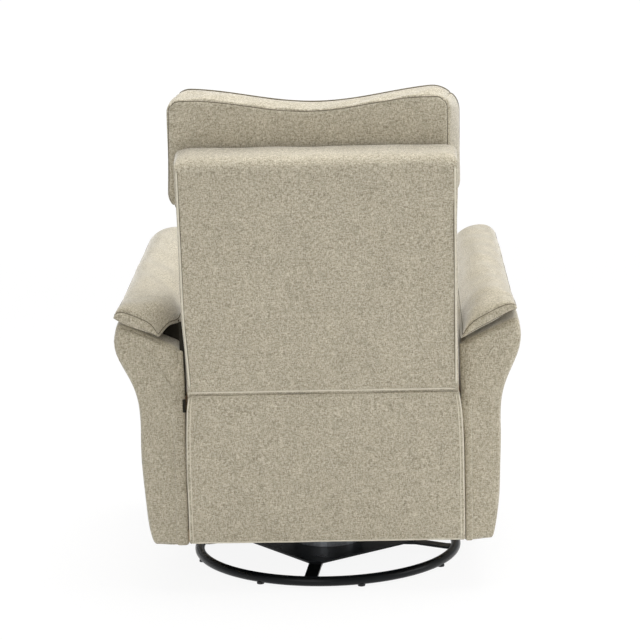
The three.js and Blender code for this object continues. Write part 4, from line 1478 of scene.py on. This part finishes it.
        # Black sheets in the gaps: painted shade where the gaps fall dark.
        for half, middle in self.painted_gap_shades:
            parts.append(Block(half, 0.6, 12, 2).surface(LINING).moved(lambda p: p + middle))
        parts = [part.outward() for part in parts]
        shop.covered(f"arm_cover_{self.name()}", parts, "carriage", f"arm_{self.name()}")


@dataclass
class ArmPad:
    """One arm pad: a pillow with a boxing strip, sewn to the top of its arm. Its rear end droops over the
    arm's end, and its inner rear corner draws in.

    Args:
        arm: the arm that it lies on.
        outer_rear, outer_front: where its outer edge is at each end.
        corner: how far its inner rear corner draws in.
        lift: how far the outer corner of its rear end is held up.
        hollow: how far its inner edge is held off the arm beside the backrest.
        folds: the soft creases in its top, in the block's width and length.
        inner: where its inner edge is.
        rear, front: its ends.
        gap: how far its underside is off the arm.
        rear_lift: how far the whole of its rear end is held up.
        strip: the height of its boxing strip.
        end_thin, side_thin, inner_thin: the shares of that height that are lost at the corners of its rear
            end, at its sides, and at its inner edge again.
        dome, fall: how far its top rises above the strip, and the power of its fall towards the sides.
        block_width: the width of the block that it is shaped from.
        end: the places along it between which its rear end begins to droop.
        corner_reach: how far from its rear end the inner corner begins to draw in.
        hollow_near, hollow_far: the distances from its rear end between which the hollow grows, and fades.
    """

    arm: Arm
    outer_rear: float
    outer_front: float
    corner: float
    lift: float
    hollow: float
    folds: Sequence[Fold]
    inner: float = 290.5
    rear: float = 331
    front: float = -441
    gap: float = 0.6
    rear_lift: float = 3
    strip: float = 22
    end_thin: float = 0.8
    side_thin: float = 0.25
    inner_thin: float = 0.6
    dome: float = 33
    fall: float = 3.2
    block_width: float = 130
    end: tuple[float, float] = (150, 330)
    corner_reach: float = 110
    hollow_near: tuple[float, float] = (0, 55)
    hollow_far: tuple[float, float] = (90, 260)

    def block(self) -> Block:
        """Returns the block that the pad is shaped from."""
        return Block([self.block_width / 2, (self.rear - self.front) / 2, self.strip / 2], 8, 7.5, 4)

    def placed(self, points: Array) -> Array:
        """Lays the block on the arm's top: its dome falls off with the square root of one less the fourth
        power of the length towards the rear, of the sixteenth towards the front, and with the width's power
        across.

        Args:
            points: places on the block.

        Returns:
            The same places on the chair.
        """
        a, b, c = (points / self.block().half).T
        y = (self.front + self.rear) / 2 + points[:, 1]
        outer = self.outer_front + (self.outer_rear - self.outer_front) * (b + 1) / 2
        inner = self.inner + self.corner * eased(y, self.rear - self.corner_reach, self.rear + 6) ** 1.3
        x = inner + (outer - inner) * (a + 1) / 2
        across = (x - CHAIR.seat_half) / self.arm.width
        floor = self.arm.top_at(across, np.minimum(y, self.arm.rear)) + self.gap
        end = eased(y, *self.end)
        lift = end * (self.rear_lift + self.lift * (a + 1) / 2)
        beside = eased(self.rear - y, *self.hollow_near) * (1 - eased(self.rear - y, *self.hollow_far))
        lift = lift + self.hollow * beside * ((1 - a) / 2) ** 2
        strip = self.strip * (1 - self.end_thin * np.abs(a) ** 8 * end)
        strip = strip * (1 - self.side_thin * np.abs(a) ** 3) * (1 - self.inner_thin * np.clip(-a, 0, 1) ** 6)
        along = np.sqrt(np.clip(1 - np.where(b > 0, b ** 4, b ** 16), 0, 1))
        dome = self.dome * (1 - np.abs(a) ** self.fall) * along
        for fold in self.folds:
            dome = dome + fold.rise(points[:, 0], y) * (1 - a ** 8)
        z = floor + lift + (strip + dome) * (c + 1) / 2
        return np.stack([self.arm.side * x, y, z], axis=1)

    def build(self, shop: Workshop) -> None:
        """Makes the pad with a seam round its top and one round its underside, both in the dark thread that
        paints the seams' shade.
        """
        seams = [Seam(2, 1, Stitching.PLAIN, 0.8, 1.6, 2.2), Seam(2, -1, Stitching.PLAIN, 0.8, 1.6, 2.0)]
        parts = shop.padded_block(self.block(), self.placed, seams, 1.3, 125, seed=31 + self.arm.side)
        parts = [part.outward() for part in parts]
        name = self.arm.name()
        shop.covered(f"arm_pad_cover_{name}", parts, "carriage", f"arm_pad_{name}")


@dataclass
class Studio:
    """A white floor, soft lamps and the camera.

    Args:
        eye: where the camera is.
        yaw, pitch, roll: which way it looks, in degrees.
        lens, frame_width: its focal length and the width of its frame in mm.
        lamps: each lamp's name, place, target, width in metres and power in watts.
    """

    eye: Sequence[float] = (-0.1123, 5.7578, 1.6915)
    yaw: float = 1.181
    pitch: float = 11.534
    roll: float = -1.284
    lens: float = 152.88
    frame_width: float = 36
    lamps: Sequence[tuple[str, Sequence[float], Sequence[float], float, float]] = (
        ("top_softbox", (-0.3, -0.2, 3.4), (0, 0, 0.6), 2.6, 100),
        ("side_softbox", (-3.4, 0.8, 1.5), (0, 0, 0.5), 1.8, 38),
        ("camera_fill", (1.4, 4.6, 1.9), (0, 0, 0.4), 2.4, 44),
    )

    def camera(self) -> None:
        """Sets the camera at the photograph's angle."""
        yaw, pitch, roll = (math.radians(v) for v in (self.yaw, self.pitch, self.roll))
        ahead = Vector((
            math.sin(yaw) * math.cos(pitch), -math.cos(yaw) * math.cos(pitch), -math.sin(pitch))).normalized()
        right = ahead.cross(Vector((0, 0, 1))).normalized()
        above = right.cross(ahead)
        right, above = (
            math.cos(roll) * right + math.sin(roll) * above, math.cos(roll) * above - math.sin(roll) * right)
        data = bpy.data.cameras.new("camera")
        data.lens, data.sensor_width = self.lens, self.frame_width
        data.clip_start, data.clip_end = 0.1, 100
        camera = bpy.data.objects.new("camera", data)
        turn = Matrix((right, above, -ahead)).transposed().to_4x4()
        camera.matrix_world = Matrix.Translation(Vector(self.eye)) @ turn
        bpy.context.scene.collection.objects.link(camera)
        bpy.context.scene.camera = camera

    def lamp(
        self, name: str, place: Sequence[float], target: Sequence[float], size: float, power: float
    ) -> None:
        """Adds one square soft lamp.

        Args:
            name: its name.
            place, target: where it is and what it faces.
            size: its width.
            power: its power in watts.
        """
        data = bpy.data.lights.new(name, "AREA")
        data.shape, data.size, data.energy = "SQUARE", size, power
        lamp = bpy.data.objects.new(name, data)
        away = (Vector(place) - Vector(target)).to_track_quat("Z", "Y")
        lamp.matrix_world = Matrix.Translation(Vector(place)) @ away.to_matrix().to_4x4()
        bpy.context.scene.collection.objects.link(lamp)

    def floor(self) -> None:
        """Makes the floor: white to the camera and in reflections, with a share of plain matt white near the
        chair, which keeps its shadow.
        """
        material, tree, place = new_material("white_studio_floor")
        away = add_node(tree, "ShaderNodeVectorMath", {0: place}, operation="LENGTH")
        strength = add_node(tree, "ShaderNodeMapRange", {
            "Value": away.outputs["Value"], "From Min": 1.5, "From Max": 6.0, "To Min": 0.88, "To Max": 1.0})
        path = add_node(tree, "ShaderNodeLightPath")
        seen = add_node(tree, "ShaderNodeMath", {
            0: path.outputs["Is Camera Ray"], 1: path.outputs["Is Glossy Ray"]}, operation="MAXIMUM")
        share = add_node(tree, "ShaderNodeMath", {
            0: seen.outputs[0], 1: strength.outputs[0]}, operation="MULTIPLY")
        matt = add_node(tree, "ShaderNodeBsdfDiffuse", {"Color": linear("#F4F4F4")})
        white = add_node(tree, "ShaderNodeEmission", {"Color": (1, 1, 1, 1), "Strength": 1.03})
        mixed = add_node(tree, "ShaderNodeMixShader", {
            0: share.outputs[0], 1: matt.outputs[0], 2: white.outputs[0]})
        add_node(tree, "ShaderNodeOutputMaterial", {"Surface": mixed.outputs[0]})
        sheet = Block([60000, 60000, 5], 4, 20000, 2).surface().moved(lambda p: p - [0, 0, 5.2])
        make_piece("studio_floor", [sheet], [material])

    def world(self) -> None:
        """Makes the world: white to the camera and through glass, and a dim white light otherwise."""
        world = bpy.data.worlds.new("studio")
        world.use_nodes = True
        tree = world.node_tree
        tree.nodes.clear()
        path = add_node(tree, "ShaderNodeLightPath")
        seen = add_node(tree, "ShaderNodeMath", {
            0: path.outputs["Is Camera Ray"], 1: path.outputs["Is Transmission Ray"]}, operation="MAXIMUM")
        room = add_node(tree, "ShaderNodeBackground", {"Color": (1, 1, 1, 1), "Strength": 0.42})
        white = add_node(tree, "ShaderNodeBackground", {"Color": (1, 1, 1, 1), "Strength": 1.0})
        mixed = add_node(tree, "ShaderNodeMixShader", {
            0: seen.outputs[0], 1: room.outputs[0], 2: white.outputs[0]})
        add_node(tree, "ShaderNodeOutputWorld", {"Surface": mixed.outputs[0]})
        bpy.context.scene.world = world

    def build(self) -> None:
        """Makes the whole studio."""
        self.camera()
        self.floor()
        self.world()
        for lamp in self.lamps:
            self.lamp(*lamp)
        bpy.context.scene.view_settings.view_transform = "Standard"


def main() -> None:
    """Builds the chair's sub-assemblies and the studio."""
    logging.basicConfig(level=logging.INFO, format="%(name)s %(message)s")
    shop = Workshop()
    Studio().build()
    Mechanism().build(shop)
    # Each arm's black sheets paint the shade in its gaps beside the skirt and the backrest, and in the hollow
    # under the left pad.
    left = Arm(1, width=136, strip_inner=282.6, strip_upper=282.2, strip_top=520, pocket=16, painted_gap_shades=[
        ((3.4, 0.7, 14), (282.4, 331.5, 409)),
        ((5.2, 0.7, 78), (285, 304, 502)),
        ((17, 0.7, 42), (310.5, 248, 531)),
    ])
    right = Arm(-1, width=124, strip_inner=292, strip_upper=285.6, strip_top=524, pocket=12, painted_gap_shades=[
        ((4.2, 0.7, 32), (-280, 331.5, 393)),
    ])
    pads = [
        ArmPad(left, outer_rear=422, outer_front=404, corner=40, lift=12, hollow=21, folds=[
            Fold((-58, 214), (50, 196), 2.2, 7), Fold((-50, 268), (10, 236), 1.6, 6)]),
        ArmPad(right, outer_rear=403, outer_front=395, corner=-2, lift=20, hollow=0, folds=[
            Fold((-60, 205), (12, 262), 3.0, 7), Fold((-60, 246), (-8, 300), 2.4, 6),
            Fold((58, 300), (20, 262), 1.8, 6)]),
    ]
    for assembly in [
        FloorBase(), BackPanel(), RearSkirt(), HeadCushion(), LumbarCushion(), SeatCushion(), FootrestPad(),
        left, right, *pads,
    ]:
        assembly.build(shop)


if __name__ == "__main__":
    main()
